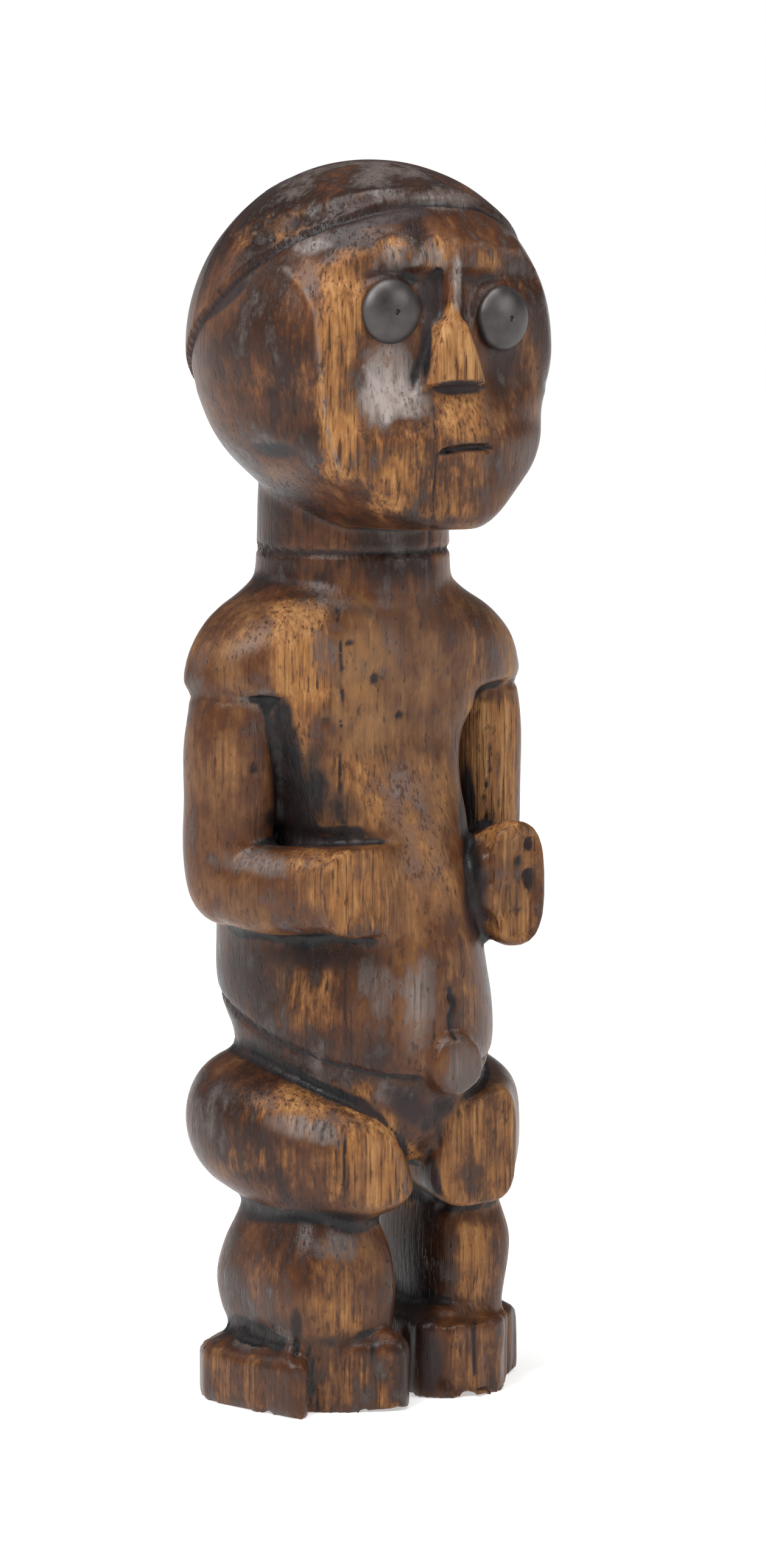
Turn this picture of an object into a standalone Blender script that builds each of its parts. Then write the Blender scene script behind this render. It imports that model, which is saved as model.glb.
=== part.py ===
"""A carved standing figure of an ape: one block of dark hardwood, with two domed metal discs for eyes.

The figure faces -Y and stands at z = 0 on its own feet. Its pose and carving are shares of its height,
written in U, which is 1/448 of the height. The discs have sizes of their own. Each mass of the body is a
loft of rounded sections, and the masses are joined into one solid and then cut.
"""

import math

import bmesh
import bpy
import numpy as np
from mathutils import Matrix, Vector

# Driving dimensions, in metres
HEIGHT = 0.448
DISC_DIAMETER = 0.0228
DISC_DOME = 0.0058
DISC_RIM = 0.0012
DISC_PIN_HOLE = 0.0022
CLEARANCE = 0.0003

# One unit of the carving's proportions
U = HEIGHT / 448

# Where the neck's axis stands behind the middle of the figure's box, in U
SETBACK = 7.9

# The head: a ball, with a slightly larger cap over its top and back
HEAD_CENTRE = (0, -11.4, 381.5)
HEAD_RADIUS = 65.2
CAP_STEP = 1.5
CAP_DROP = 0.80
CAP_EDGE = 21.0
NAPE_TAPER = 0.24
JAW_SQUARE = 0.8
JAW_SQUARE_BELOW = 335.0
JAW_ROUND_ABOVE = 362.0

# The eyes: distance from the middle line, depth of the seats, height of each, and how far they splay
EYE_SPREAD = 23.9
EYE_SEAT_Y = -59.2
EYE_HEIGHTS = {"right": 395.0, "left": 392.0}
EYE_SPLAY = math.radians(6)
SEAT_PAD = 11.0
SEAT_DEPTH = 0.6

# The hollows of the sockets and cheeks, and the swelling of the muzzle: how deep, where and how broad
SOCKET_DEPTH = 2.6
SOCKET_OUT = 15.0
SOCKET_HEIGHT = 400.0
SOCKET_SPREAD = (13.0, 9.0)
CHEEK_DEPTH = 2.2
CHEEK_OUT = 24.0
CHEEK_HEIGHT = 372.0
CHEEK_SPREAD = (11.0, 13.0)
MUZZLE_SWELL = 0.8
MUZZLE_HEIGHT = 351.0
MUZZLE_SPREAD = (21.0, 9.0)

# The nose and mouth
NOSE_BASE = 369.0
NOSE_HALF_WIDTH = 13.3
MOUTH_WIDTH = 22.5
MOUTH_GAP = 2.2
MOUTH_DEPTH = 3.2
MOUTH_HEIGHT = 347.0
MOUTH_SLANT = math.radians(3)

# The arms, the navel knob and the legs
ARM_OUT = 54.2
HAND_TURN = 0.28
HAND_TURN_FROM = -30.0
KNOB_RADIUS = 11.0
KNOB_OUT = 4.3
KNOB_FRONT = -63.0
KNOB_ROOT = -44.0
KNOB_HEIGHT = 125.0
FOOT_CROWN = 3.5
FOOT_SLOPE = 11.0
FOOT_BEVEL = 2.6

# The incised lines: one round the neck, one sloping down from the back to the knob
NECK_LINE_HEIGHT = 308.0
GROIN_LINE_HEIGHT = 137.8
GROIN_LINE_SLOPE = 0.315
LINE_DEPTH = 1.6
LINE_HALF_WIDTH = 1.1

RIGHT = -1
LEFT = 1


def clear_scene():
    for obj in list(bpy.data.objects):
        bpy.data.objects.remove(obj, do_unlink=True)


def collection(name):
    made = bpy.data.collections.new(name)
    bpy.context.scene.collection.children.link(made)
    return made


def material(name, colour, roughness, metallic):
    made = bpy.data.materials.new(name)
    made.use_nodes = True
    shader = made.node_tree.nodes["Principled BSDF"]
    shader.inputs["Base Color"].default_value = (*colour, 1)
    shader.inputs["Roughness"].default_value = roughness
    shader.inputs["Metallic"].default_value = metallic
    made.diffuse_color = (*colour, 1)
    return made


clear_scene()
figure_parts = collection("carved_ape_figure")
masses = collection("masses_and_cutters")
wood = material("carved_hardwood", (0.15, 0.062, 0.026), 0.42, 0.0)
dark_metal = material("disc_metal", (0.045, 0.042, 0.042), 0.38, 0.85)

stance = bpy.data.objects.new("stance", None)
stance.location = (0, SETBACK * U, 0)
figure_parts.objects.link(stance)


def add_object(name, mesh, where, paint):
    """Puts a mesh in a collection, as a child of the stance."""
    obj = bpy.data.objects.new(name, mesh)
    obj.parent = stance
    mesh.materials.append(paint)
    mesh.shade_smooth()
    mesh.set_sharp_from_angle(angle=math.radians(40))
    where.objects.link(obj)
    if where is masses:
        obj.hide_render = True
        obj.display_type = "WIRE"
    return obj


def mesh_from_bmesh(name, shape):
    """Writes a bmesh to a mesh with its faces pointing out."""
    bmesh.ops.recalc_face_normals(shape, faces=shape.faces)
    mesh = bpy.data.meshes.new(name)
    shape.to_mesh(mesh)
    shape.free()
    return mesh


def smooth_rows(rows, steps):
    """Rows of section values with `steps` rows for each span, on a Catmull-Rom curve through them."""
    knots = np.array(rows, float)
    before = np.vstack([2 * knots[0] - knots[1], knots[:-1]])[:-1]
    after = np.vstack([knots[2:], 2 * knots[-1] - knots[-2]])
    start, end = knots[:-1], knots[1:]
    t = (np.arange(steps) / steps)[None, :, None]
    start, end = start[:, None], end[:, None]
    before, after = before[:, None], after[:, None]
    curve = 0.5 * (
        2 * start
        + (end - before) * t
        + (2 * before - 5 * start + 4 * end - after) * t**2
        + (3 * start - 3 * end + after - before) * t**3
    )
    return np.vstack([curve.reshape(-1, knots.shape[1]), knots[-1:]])


def section(rows, angle):
    """Points of rounded sections, as arrays of x and y over rows and angles.

    A row is station, middle x, middle y, half width, reach to the front, reach to the back, and the
    powers of the front and back halves: 2 is an ellipse, and more is squarer.
    """
    middle_x, middle_y, half_width, front, back, power_front, power_back = (
        rows[..., k] for k in range(1, 8)
    )
    c, s = np.cos(angle), np.sin(angle)
    power = np.where(s < 0, power_front, power_back)
    reach = np.where(s < 0, front, back)
    x = middle_x + half_width * np.sign(c) * np.abs(c) ** (2 / power)
    y = middle_y + reach * np.sign(s) * np.abs(s) ** (2 / power)
    return x, y


def skin(name, points):
    """A closed mesh over a grid of points (rings, around, 3), each end closed by a fan from its middle."""
    rings, around, _ = points.shape
    shape = bmesh.new()
    grid = [[shape.verts.new(Vector(p) * U) for p in ring] for ring in points]
    for low, high in zip(grid[:-1], grid[1:]):
        for k in range(around):
            following = (k + 1) % around
            shape.faces.new((low[k], low[following], high[following], high[k]))
    for ring, values in ((grid[0], points[0]), (grid[-1], points[-1])):
        middle = shape.verts.new(Vector(values.mean(axis=0)) * U)
        for k in range(around):
            shape.faces.new((ring[k], ring[(k + 1) % around], middle))
    return add_object(name, mesh_from_bmesh(name, shape), masses, wood)


def loft(name, rows, around, forward=False):
    """A mass lofted through its rows, upwards, or towards the front if `forward` is true."""
    knots = np.array(rows, float)
    angle = np.linspace(0, 2 * math.pi, around, endpoint=False)
    x, y = section(knots[:, None], angle)
    station = np.broadcast_to(knots[:, :1], x.shape)
    if forward:
        points = np.stack([x, -station, y], axis=-1)
    else:
        points = np.stack([x, y, station], axis=-1)
    return skin(name, points)


def boolean(target, other, operation):
    modifier = target.modifiers.new(f"{operation.lower()} {other.name}", "BOOLEAN")
    modifier.operation = operation
    modifier.solver = "EXACT"
    modifier.object = other


def half_space(shape, point, normal):
    """Keeps the part of a bmesh on the side of a plane that its normal points to, and closes the cut."""
    everything = shape.verts[:] + shape.edges[:] + shape.faces[:]
    cut = bmesh.ops.bisect_plane(
        shape, geom=everything, plane_co=point, plane_no=normal, clear_inner=True
    )
    edges = [item for item in cut["geom_cut"] if isinstance(item, bmesh.types.BMEdge)]
    bmesh.ops.holes_fill(shape, edges=edges, sides=0)
    bmesh.ops.triangulate(shape, faces=[face for face in shape.faces if len(face.verts) > 4])


# The head. Its sections are the ball's circles, widened low down into a jaw, and pushed back to the
# surface of the face: a profile down the middle line, which curves back to each side.

JAW_ROWS = [
    # height, half width, reach to the front
    (316.0, 17, 48),
    (318.5, 24, 55.5),
    (323.0, 31, 59.0),
    (331.0, 40, 60.5),
    (341.0, 50.5, 61.5),
    (352.0, 58.5, 61.5),
    (366.0, 63.3, 63),
]
FACE_ROWS = [
    # height, depth on the middle line, how much farther back it is 50 U to the side
    (316.0, -62.0, 24),
    (320.0, -68.6, 24),
    (330.0, -70.2, 24),
    (341.0, -71.0, 23),
    (349.0, -71.3, 22),
    (356.0, -69.3, 21),
    (363.0, -67.0, 16),
    (370.0, -63.8, 12),
    (378.0, -62.4, 9),
    (392.0, -62.0, 8),
    (402.0, -61.2, 9),
    (407.0, -59.6, 10),
    (411.0, -61.6, 13),
    (416.0, -61.4, 15),
    (420.0, -59.5, 17),
    (426.0, -56.3, 19),
    (432.0, -53.6, 20),
    (440.0, -50.0, 20),
]


def table(rows, column, height):
    """The value of one column of a table at each height."""
    knots = smooth_rows(rows, 6)
    return np.interp(height, knots[:, 0], knots[:, column])


def soft_max(a, b, blend):
    """The larger of two values, rounded where they are closer than `blend`."""
    h = np.maximum(blend - np.abs(a - b), 0) / blend
    return np.maximum(a, b) + h * h * blend / 4


def smooth_step(low, high, value):
    t = np.clip((value - low) / (high - low), 0, 1)
    return t * t * (3 - 2 * t)


def bump(across, up, spread, power):
    """A rounded bump of height 1, flatter on top and steeper round it as its power rises."""
    return np.exp(-((across / spread[0]) ** power) - (up / spread[1]) ** power)


def face_depth(x, z):
    """Depth y of the face over x and z: the profile, bent back to the sides, with sockets and eye pads."""
    y = table(FACE_ROWS, 1, z) + table(FACE_ROWS, 2, z) * (x / 50) ** 2
    socket = bump(np.abs(x) - SOCKET_OUT, z - SOCKET_HEIGHT, SOCKET_SPREAD, 4)
    cheek = bump(np.abs(x) - CHEEK_OUT, z - CHEEK_HEIGHT, CHEEK_SPREAD, 2)
    muzzle = bump(x, z - MUZZLE_HEIGHT, MUZZLE_SPREAD, 4)
    y = y + SOCKET_DEPTH * socket + CHEEK_DEPTH * cheek - MUZZLE_SWELL * muzzle
    for side, height in ((RIGHT, EYE_HEIGHTS["right"]), (LEFT, EYE_HEIGHTS["left"])):
        away = np.hypot(x - side * EYE_SPREAD, z - height)
        seat = EYE_SEAT_Y + (side * x - EYE_SPREAD) * math.tan(EYE_SPLAY) - SEAT_DEPTH
        pad = 1 - smooth_step(SEAT_PAD, SEAT_PAD + 3.0, away)
        y = y + (seat - y) * pad
    return y


def head_points(around, levels):
    """The head's surface on a grid: even steps of latitude, and closer round the face than the back."""
    low = -0.98
    latitude = np.linspace(math.asin(low), math.radians(86), levels)
    z = HEAD_CENTRE[2] + HEAD_RADIUS * np.sin(latitude)
    below = np.clip((HEAD_CENTRE[2] - z) / HEAD_RADIUS, 0, 1)
    ball = HEAD_RADIUS * np.cos(latitude) * (1 - NAPE_TAPER * below**2)
    jaw = z < JAW_ROWS[-1][0]
    half_width = np.where(jaw, np.maximum(ball, table(JAW_ROWS, 1, z)), ball)
    front = np.where(jaw, np.maximum(ball, table(JAW_ROWS, 2, z)), ball)
    squareness = 2 + JAW_SQUARE * (1 - smooth_step(JAW_SQUARE_BELOW, JAW_ROUND_ABOVE, z))
    rows = np.stack(
        [z, 0 * z, 0 * z + HEAD_CENTRE[1], half_width, front, ball, squareness, 0 * z + 2], axis=-1
    )
    turn = np.linspace(0, 2 * math.pi, around, endpoint=False)
    angle = turn - math.pi / 2 - 0.35 * np.sin(turn)
    x, y = section(rows[:, None], angle)
    z = np.broadcast_to(z[:, None], x.shape)
    facing = y < HEAD_CENTRE[1]
    y = np.where(facing, soft_max(y, face_depth(x, z), 2.0), y)
    return np.stack([x, y, z], axis=-1)


head = skin("head", head_points(around=46, levels=29))

# The cap: the part of a larger ball above a plane that falls towards the back
cap_normal = Vector((0, CAP_DROP, 1)).normalized()
cap_radius = (HEAD_RADIUS + CAP_STEP) * U
cap_shape = bmesh.new()
bmesh.ops.create_uvsphere(cap_shape, u_segments=32, v_segments=20, radius=cap_radius)
turned = Vector((0, 0, 1)).rotation_difference(cap_normal).to_matrix()
bmesh.ops.rotate(cap_shape, verts=cap_shape.verts, matrix=turned)
half_space(cap_shape, Vector((0, 0, CAP_EDGE * U)), cap_normal)
bmesh.ops.translate(cap_shape, verts=cap_shape.verts, vec=Vector(HEAD_CENTRE) * U)
cap = add_object("cap", mesh_from_bmesh("cap", cap_shape), masses, wood)

# The nose: a wedge that is flat in front and below, with a thin ridge running up to the brow
NOSE_ROWS = [
    # height, middle x, middle y, half width, front, back, powers
    (NOSE_BASE, -0.8, -60, NOSE_HALF_WIDTH, 8.8, 8, 7, 4),
    (380.0, -0.8, -60, 9.6, 8.4, 8, 7, 4),
    (390.0, -0.6, -60, 5.9, 7.4, 8, 6, 4),
    (394.0, -0.2, -60, 3.4, 6.0, 8, 4, 4),
    (404.0, 0.0, -60, 2.6, 4.4, 8, 3, 4),
    (412.0, 0.0, -60, 2.4, 2.4, 8, 3, 4),
]
nose = loft("nose", NOSE_ROWS, around=20)

# The neck and trunk
NECK_ROWS = [
    # height, middle x, middle y, half width, front, back, powers
    (280.0, 0, 0, 36.0, 35.5, 36.0, 2, 2),
    (300.0, 0, 0, 35.4, 35.4, 35.4, 2, 2),
    (325.0, 0, 0, 34.6, 34.6, 34.6, 2, 2),
    (346.0, 0, 0, 33.6, 33.6, 33.6, 2, 2),
]
CHEST_ROWS = [
    (298.0, 0, 0, 34.5, 33.0, 34.0, 2.0, 2.0),
    (296.0, 0, 0, 38.0, 33.8, 33.5, 2.0, 2.1),
    (292.0, 0, 0, 43.5, 34.8, 32.0, 2.0, 2.3),
    (286.0, 0, 0, 54.0, 35.5, 28.0, 2.0, 2.6),
    (280.0, 0, 0, 60.5, 35.8, 25.0, 2.1, 3.0),
    (274.0, 0, 0, 65.0, 35.6, 24.0, 2.15, 3.0),
    (266.0, 0, 0, 68.0, 34.8, 23.0, 2.15, 3.0),
    (259.6, 0, 0, 67.6, 34.2, 21.0, 2.15, 3.0),
    (257.4, -3.5, 0, 47.0, 34.0, 18.0, 3.6, 2.0),
    (251.0, -4.5, 0, 44.4, 33.8, 18.0, 4.0, 2.0),
    (240.0, -5.0, 0, 39.0, 33.5, 18.0, 4.0, 2.0),
    (223.0, -3.0, 0, 35.6, 37.5, 18.0, 3.4, 2.0),
    (207.0, 0, 0, 36.4, 45.5, 18.0, 2.4, 2.0),
    (190.0, 0, 0, 37.0, 53.2, 20.0, 2.1, 2.0),
    (172.0, 0, 0, 40.5, 57.0, 24.0, 2.0, 2.0),
    (156.0, 0, 0, 43.5, 58.8, 30.0, 2.0, 2.0),
    (142.0, 0, 0, 46.2, 59.2, 34.0, 2.0, 2.3),
    (128.0, 0, 0, 44.4, 57.4, 31.0, 2.2, 2.4),
    (115.0, 0, 0, 40.0, 53.0, 31.0, 2.2, 2.3),
    (101.0, 0, 0, 35.0, 49.5, 29.0, 2.3, 2.2),
    (88.0, 0, 0, 26.0, 41.0, 23.0, 2.0, 2.0),
]
# The back is broader than the chest and belly, and closes the gap behind the arms
BACK_ROWS = [
    (293.0, 0, 5, 38.0, 20.0, 30.0, 3.0, 2.1),
    (285.0, 0, 5, 52.0, 20.0, 31.5, 3.0, 2.2),
    (272.0, 0, 6, 55.0, 18.0, 30.0, 3.0, 2.3),
    (254.0, 0, 7, 50.0, 14.0, 27.0, 3.0, 2.4),
    (228.0, 0, 8, 47.0, 14.5, 24.5, 3.0, 2.4),
    (205.0, 0, 8, 47.0, 16.0, 26.5, 3.0, 2.4),
    (186.0, 0, 6, 48.0, 22.0, 34.0, 2.6, 2.5),
    (168.0, 0, 0, 48.4, 34.0, 44.5, 2.2, 2.5),
    (152.0, 0, 0, 47.6, 40.0, 45.5, 2.0, 2.5),
    (139.0, 0, 0, 45.6, 40.0, 38.5, 2.0, 2.5),
    (126.0, 0, 0, 41.0, 36.0, 31.0, 2.0, 2.4),
    (112.0, 0, 0, 37.0, 34.0, 33.0, 2.0, 2.3),
    (98.0, 0, 0, 30.0, 30.0, 30.0, 2.0, 2.2),
    (88.0, 0, 0, 20.0, 24.0, 22.0, 2.0, 2.0),
]
neck = loft("neck", NECK_ROWS, around=24)
trunk = loft("trunk", CHEST_ROWS, around=26)
back = loft("back", BACK_ROWS, around=24)


def mirrored(rows, side):
    """The rows with their middle x on the given side of the figure."""
    return [(row[0], side * row[1], *row[2:]) for row in rows]


ARM_ROWS = [
    (272.0, ARM_OUT - 4.0, 0, 12.5, 12.5, 12.5, 2, 2),
    (262.0, ARM_OUT - 1.2, 0, 13.6, 15.6, 14.2, 2, 2),
    (252.0, ARM_OUT - 0.4, 0, 14.6, 17.6, 15.0, 2.2, 2),
    (238.0, ARM_OUT, 0, 15.9, 17.8, 16.0, 2.2, 2),
    (215.0, ARM_OUT, 0, 16.0, 17.4, 16.2, 2.1, 2),
    (197.0, ARM_OUT, 0, 15.8, 16.8, 16.2, 2, 2),
    (184.0, ARM_OUT - 0.8, -1, 14.8, 16.0, 14.6, 2, 2),
    (176.5, ARM_OUT - 2.2, -2, 11.0, 13.0, 11.0, 2, 2),
    (173.2, ARM_OUT - 4.0, -3, 5.5, 8.0, 5.5, 2, 2),
]
# Rows that run forwards: distance in front of the neck's axis, middle x, middle height, half width,
# reach down, reach up, powers
FOREARM_ROWS = [
    (-3.0, 51.0, 188.5, 12.5, 10.0, 12.0, 2.2, 2.2),
    (9.0, 49.8, 187.5, 16.8, 14.2, 15.6, 2.4, 2.4),
    (24.0, 45.6, 187.5, 17.3, 15.6, 16.0, 2.6, 2.6),
    (38.0, 39.0, 189.0, 16.4, 15.6, 15.4, 2.7, 2.7),
    (47.0, 34.4, 189.5, 15.0, 15.8, 15.4, 2.8, 2.8),
    (53.0, 32.4, 189.5, 13.0, 15.2, 14.8, 3.0, 3.0),
]
# The right hand lies flat on the belly and is worn down with it to one plane
RIGHT_HAND_ROWS = [
    (28.0, 27.0, 189.0, 15.0, 13.0, 14.0, 3.0, 3.0),
    (44.0, 27.6, 189.2, 18.2, 15.8, 15.6, 3.4, 3.4),
    (52.6, 28.0, 189.4, 19.0, 17.0, 16.0, 3.6, 4.0),
    (54.8, 28.2, 189.4, 17.6, 15.6, 15.0, 3.6, 4.0),
]
# The left fist is a rounded slab, broader than the right one, standing clear of the belly
LEFT_FIST_ROWS = [
    (33.0, 34.6, 189.0, 11.8, 15.0, 14.0, 2.6, 2.6),
    (41.0, 34.6, 188.5, 12.3, 20.0, 19.5, 2.6, 2.6),
    (50.0, 34.4, 188.0, 12.5, 22.6, 22.6, 2.6, 2.6),
    (56.0, 34.0, 188.0, 12.2, 22.4, 22.6, 2.6, 2.6),
    (57.8, 33.8, 188.0, 11.0, 21.2, 21.2, 2.6, 2.6),
]
THIGH_ROWS = [
    (-37.0, 30.0, 104.0, 7.0, 7.0, 7.0, 2.0, 2.0),
    (-32.5, 31.5, 103.0, 16.5, 16.0, 16.0, 2.0, 2.0),
    (-21.0, 34.5, 101.5, 25.2, 24.5, 24.0, 2.0, 2.0),
    (-4.0, 36.0, 99.5, 28.2, 27.0, 27.0, 2.0, 2.0),
    (14.0, 34.5, 96.0, 27.8, 26.0, 25.0, 2.1, 2.0),
]
KNEE_ROWS = {
    RIGHT: [
        (30.0, 29.6, 91.2, 24.2, 22.0, 22.6, 2.4, 2.0),
        (41.0, 25.0, 87.4, 20.6, 17.8, 21.4, 2.5, 1.95),
        (47.5, 22.4, 85.6, 17.2, 14.4, 19.8, 2.5, 1.9),
        (51.0, 21.6, 85.0, 12.6, 10.4, 15.8, 2.4, 1.9),
    ],
    LEFT: [
        (30.0, 29.2, 92.0, 24.2, 22.8, 23.2, 2.4, 2.2),
        (42.0, 23.6, 89.0, 20.0, 18.8, 22.8, 2.8, 2.6),
        (49.0, 20.8, 88.2, 17.8, 17.4, 22.4, 3.2, 2.9),
        (50.8, 20.6, 88.2, 16.4, 16.0, 21.0, 3.2, 2.9),
    ],
}
# How far the tops of the knees' sections are sheared down towards the middle line, for each unit across,
# and how far in front of the neck's axis the shear is complete; the thighs' backs have none
KNEE_LEAN = 0.44
KNEE_FRONT = 45.0
THIGH_BACK = -12.0
RIGHT_CALF_ROWS = [
    (82.0, 28.6, -8.0, 16.0, 25.0, 18.0, 3.0, 2.6),
    (68.0, 29.0, -8.0, 19.0, 32.0, 22.0, 4.0, 2.8),
    (57.0, 29.6, -8.0, 22.4, 35.5, 27.0, 5.0, 3.0),
    (44.0, 30.2, -8.0, 24.6, 37.0, 29.5, 5.0, 3.0),
    (32.0, 29.8, -8.0, 23.4, 36.5, 27.0, 5.0, 3.0),
    (22.0, 28.6, -8.0, 20.8, 35.5, 23.0, 5.0, 2.8),
    (12.0, 28.6, -8.0, 20.8, 35.0, 22.0, 5.0, 2.8),
]
LEFT_CALF_ROWS = [
    (82.0, 30.0, -8.0, 14.6, 24.0, 17.0, 2.6, 2.6),
    (68.0, 31.0, -8.0, 16.6, 29.0, 21.0, 2.8, 2.6),
    (56.0, 32.0, -8.0, 18.6, 31.5, 27.0, 3.0, 2.8),
    (45.0, 31.6, -8.0, 18.0, 31.5, 29.0, 3.0, 3.0),
    (33.0, 31.0, -8.0, 16.8, 30.0, 26.0, 3.0, 3.0),
    (22.0, 31.0, -8.0, 16.6, 29.5, 23.0, 2.8, 2.8),
    (12.0, 31.0, -8.0, 16.6, 29.0, 22.0, 2.8, 2.8),
]
CALF_ROWS = {RIGHT: RIGHT_CALF_ROWS, LEFT: LEFT_CALF_ROWS}

# The blocks of the feet: the height of the upper edge, and the sole's outline in x and y. The front of
# each outer block is broken off.
FOOT_BLOCKS = {
    "right outer": (
        20.5,
        [
            (-54.8, -46.5),
            (-49.0, -45.0),
            (-47.2, -36.0),
            (-30.0, -30.0),
            (-20.0, 0.0),
            (-26.0, 24.0),
            (-49.0, 21.0),
            (-59.0, 13.0),
            (-64.2, 2.0),
            (-61.0, -20.0),
        ],
    ),
    "right inner": (
        25.5,
        [
            (-46.6, -37.0),
            (-30.0, -47.5),
            (-14.5, -54.5),
            (-8.5, -50.0),
            (-7.5, -30.0),
            (-8.5, 10.0),
            (-14.0, 20.0),
            (-32.0, 23.0),
            (-44.0, 10.0),
        ],
    ),
    "left inner": (
        28.5,
        [
            (3.2, -38.0),
            (12.5, -47.5),
            (24.0, -49.5),
            (36.0, -45.0),
            (45.0, -35.0),
            (46.5, -20.0),
            (44.0, 8.0),
            (32.0, 22.5),
            (14.0, 20.0),
            (6.0, 10.0),
        ],
    ),
    "left outer": (
        25.0,
        [
            (44.0, -25.5),
            (55.0, -22.5),
            (62.6, -17.0),
            (63.8, 2.0),
            (59.0, 13.0),
            (49.0, 21.0),
            (32.0, 24.5),
            (24.0, 0.0),
        ],
    ),
}


def make_foot(name):
    """A block on its sole's outline, with its upper edge bevelled and its top rising to a smaller face."""
    height, outline = FOOT_BLOCKS[name]
    middle = Vector((*np.mean(outline, axis=0), 0))
    rings = []
    shape = bmesh.new()
    for z, inset in (
        (0, 0),
        (height - FOOT_BEVEL, 0),
        (height - 0.4 * FOOT_BEVEL, 0.35 * FOOT_BEVEL),
        (height, FOOT_BEVEL),
        (height + FOOT_CROWN, FOOT_SLOPE),
    ):
        ring = []
        for x, y in outline:
            away = Vector((x, y, 0)) - middle
            spot = middle + away * (1 - inset / away.length) + Vector((0, 0, z))
            ring.append(shape.verts.new(spot * U))
        rings.append(ring)
    for low, high in zip(rings[:-1], rings[1:]):
        for k in range(len(outline)):
            following = (k + 1) % len(outline)
            shape.faces.new((low[k], low[following], high[following], high[k]))
    sole = shape.faces.new(rings[0])
    top = shape.faces.new(rings[-1])
    bmesh.ops.triangulate(shape, faces=[sole, top])
    return add_object(f"foot {name}", mesh_from_bmesh("foot", shape), masses, wood)


def make_thigh(side):
    """An egg that tapers to the knee, the tops of its sections sheared down towards the middle line."""
    rows = THIGH_ROWS + KNEE_ROWS[side]
    obj = loft(f"thigh{side}", mirrored(rows, side), around=26, forward=True)
    knots = np.array(rows) * U
    for vert in obj.data.vertices:
        middle_x, middle_z, down, up = (
            np.interp(-vert.co.y, knots[:, 0], knots[:, k]) for k in (1, 2, 4, 5)
        )
        lean = KNEE_LEAN * smooth_step(THIGH_BACK * U, KNEE_FRONT * U, -vert.co.y)
        lean = lean * smooth_step(middle_z - down, middle_z + 0.5 * up, vert.co.z)
        vert.co.z += lean * (side * vert.co.x - middle_x)
    return obj


def make_hand():
    """The right hand, its front face turned back towards the middle line until it meets the belly."""
    obj = loft("right hand", mirrored(RIGHT_HAND_ROWS, RIGHT), around=22, forward=True)
    for vert in obj.data.vertices:
        vert.co.y += HAND_TURN * max(vert.co.x - HAND_TURN_FROM * U, 0)
    return obj


limbs = [make_foot(name) for name in FOOT_BLOCKS]
for side in (RIGHT, LEFT):
    limbs += [
        loft(f"forearm{side}", mirrored(FOREARM_ROWS, side), around=22, forward=True),
        loft(f"arm{side}", mirrored(ARM_ROWS, side), around=22),
        make_thigh(side),
        loft(f"calf{side}", mirrored(CALF_ROWS[side], side), around=24),
    ]
left_fist = loft("left fist", LEFT_FIST_ROWS, around=24, forward=True)
right_hand = make_hand()

# The navel knob: a short peg carved from the same block
knob_shape = bmesh.new()
knob_length = (KNOB_ROOT - KNOB_FRONT) * U
bmesh.ops.create_cone(
    knob_shape,
    cap_ends=True,
    segments=22,
    radius1=(KNOB_RADIUS + 0.6) * U,
    radius2=KNOB_RADIUS * U,
    depth=knob_length,
)
front_rim = [
    edge for edge in knob_shape.edges if all(vert.co.z > 0 for vert in edge.verts)
]
bmesh.ops.bevel(
    knob_shape, geom=front_rim, offset=1.0 * U, segments=2, affect="EDGES", profile=0.5
)
bmesh.ops.rotate(knob_shape, verts=knob_shape.verts, matrix=Matrix.Rotation(math.pi / 2, 3, "X"))
knob_middle = Vector((KNOB_OUT, (KNOB_ROOT + KNOB_FRONT) / 2, KNOB_HEIGHT)) * U
bmesh.ops.translate(knob_shape, verts=knob_shape.verts, vec=knob_middle)
knob = add_object("knob", mesh_from_bmesh("knob", knob_shape), masses, wood)


# The incised lines: a ring of three-sided section that follows the body's surface
def surface_radius(tables, height, turn):
    """How far the outermost of the masses reaches at a height, in the direction `turn`."""
    angle = np.linspace(0, 2 * math.pi, 181)
    reach = 0
    for rows in tables:
        dense = smooth_rows(rows, 8)[::-1]
        row = np.array([np.interp(height, dense[:, 0], column) for column in dense.T])
        x, y = section(row, angle)
        direction = np.unwrap(np.arctan2(y, x))
        reach = max(reach, np.interp(turn, direction, np.hypot(x, y), period=2 * math.pi))
    return reach


def make_line(name, tables, height, slope, around):
    """A cutter along the curve where the body's surface meets the plane z = height + slope * y."""
    shape = bmesh.new()
    loops = [[], [], []]
    edges = [
        (-LINE_DEPTH, 0),
        (LINE_DEPTH, -2 * LINE_HALF_WIDTH),
        (LINE_DEPTH, 2 * LINE_HALF_WIDTH),
    ]
    for turn in np.linspace(0, 2 * math.pi, around, endpoint=False):
        out = np.array([math.cos(turn), math.sin(turn)])
        z = height
        for _ in range(12):
            reach = surface_radius(tables, z, turn)
            z = height + slope * reach * out[1]
        for loop, (offset, lift) in zip(loops, edges):
            point = Vector((*(out * (reach + offset)), z + lift))
            loop.append(shape.verts.new(point * U))
    for one, two in zip(loops, loops[1:] + loops[:1]):
        for k in range(around):
            following = (k + 1) % around
            shape.faces.new((one[k], one[following], two[following], two[k]))
    return add_object(name, mesh_from_bmesh(name, shape), masses, wood)


neck_line = make_line("neck line", [NECK_ROWS], NECK_LINE_HEIGHT, 0, 28)
groin_line = make_line(
    "groin line", [CHEST_ROWS, BACK_ROWS], GROIN_LINE_HEIGHT, GROIN_LINE_SLOPE, 36
)

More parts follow.
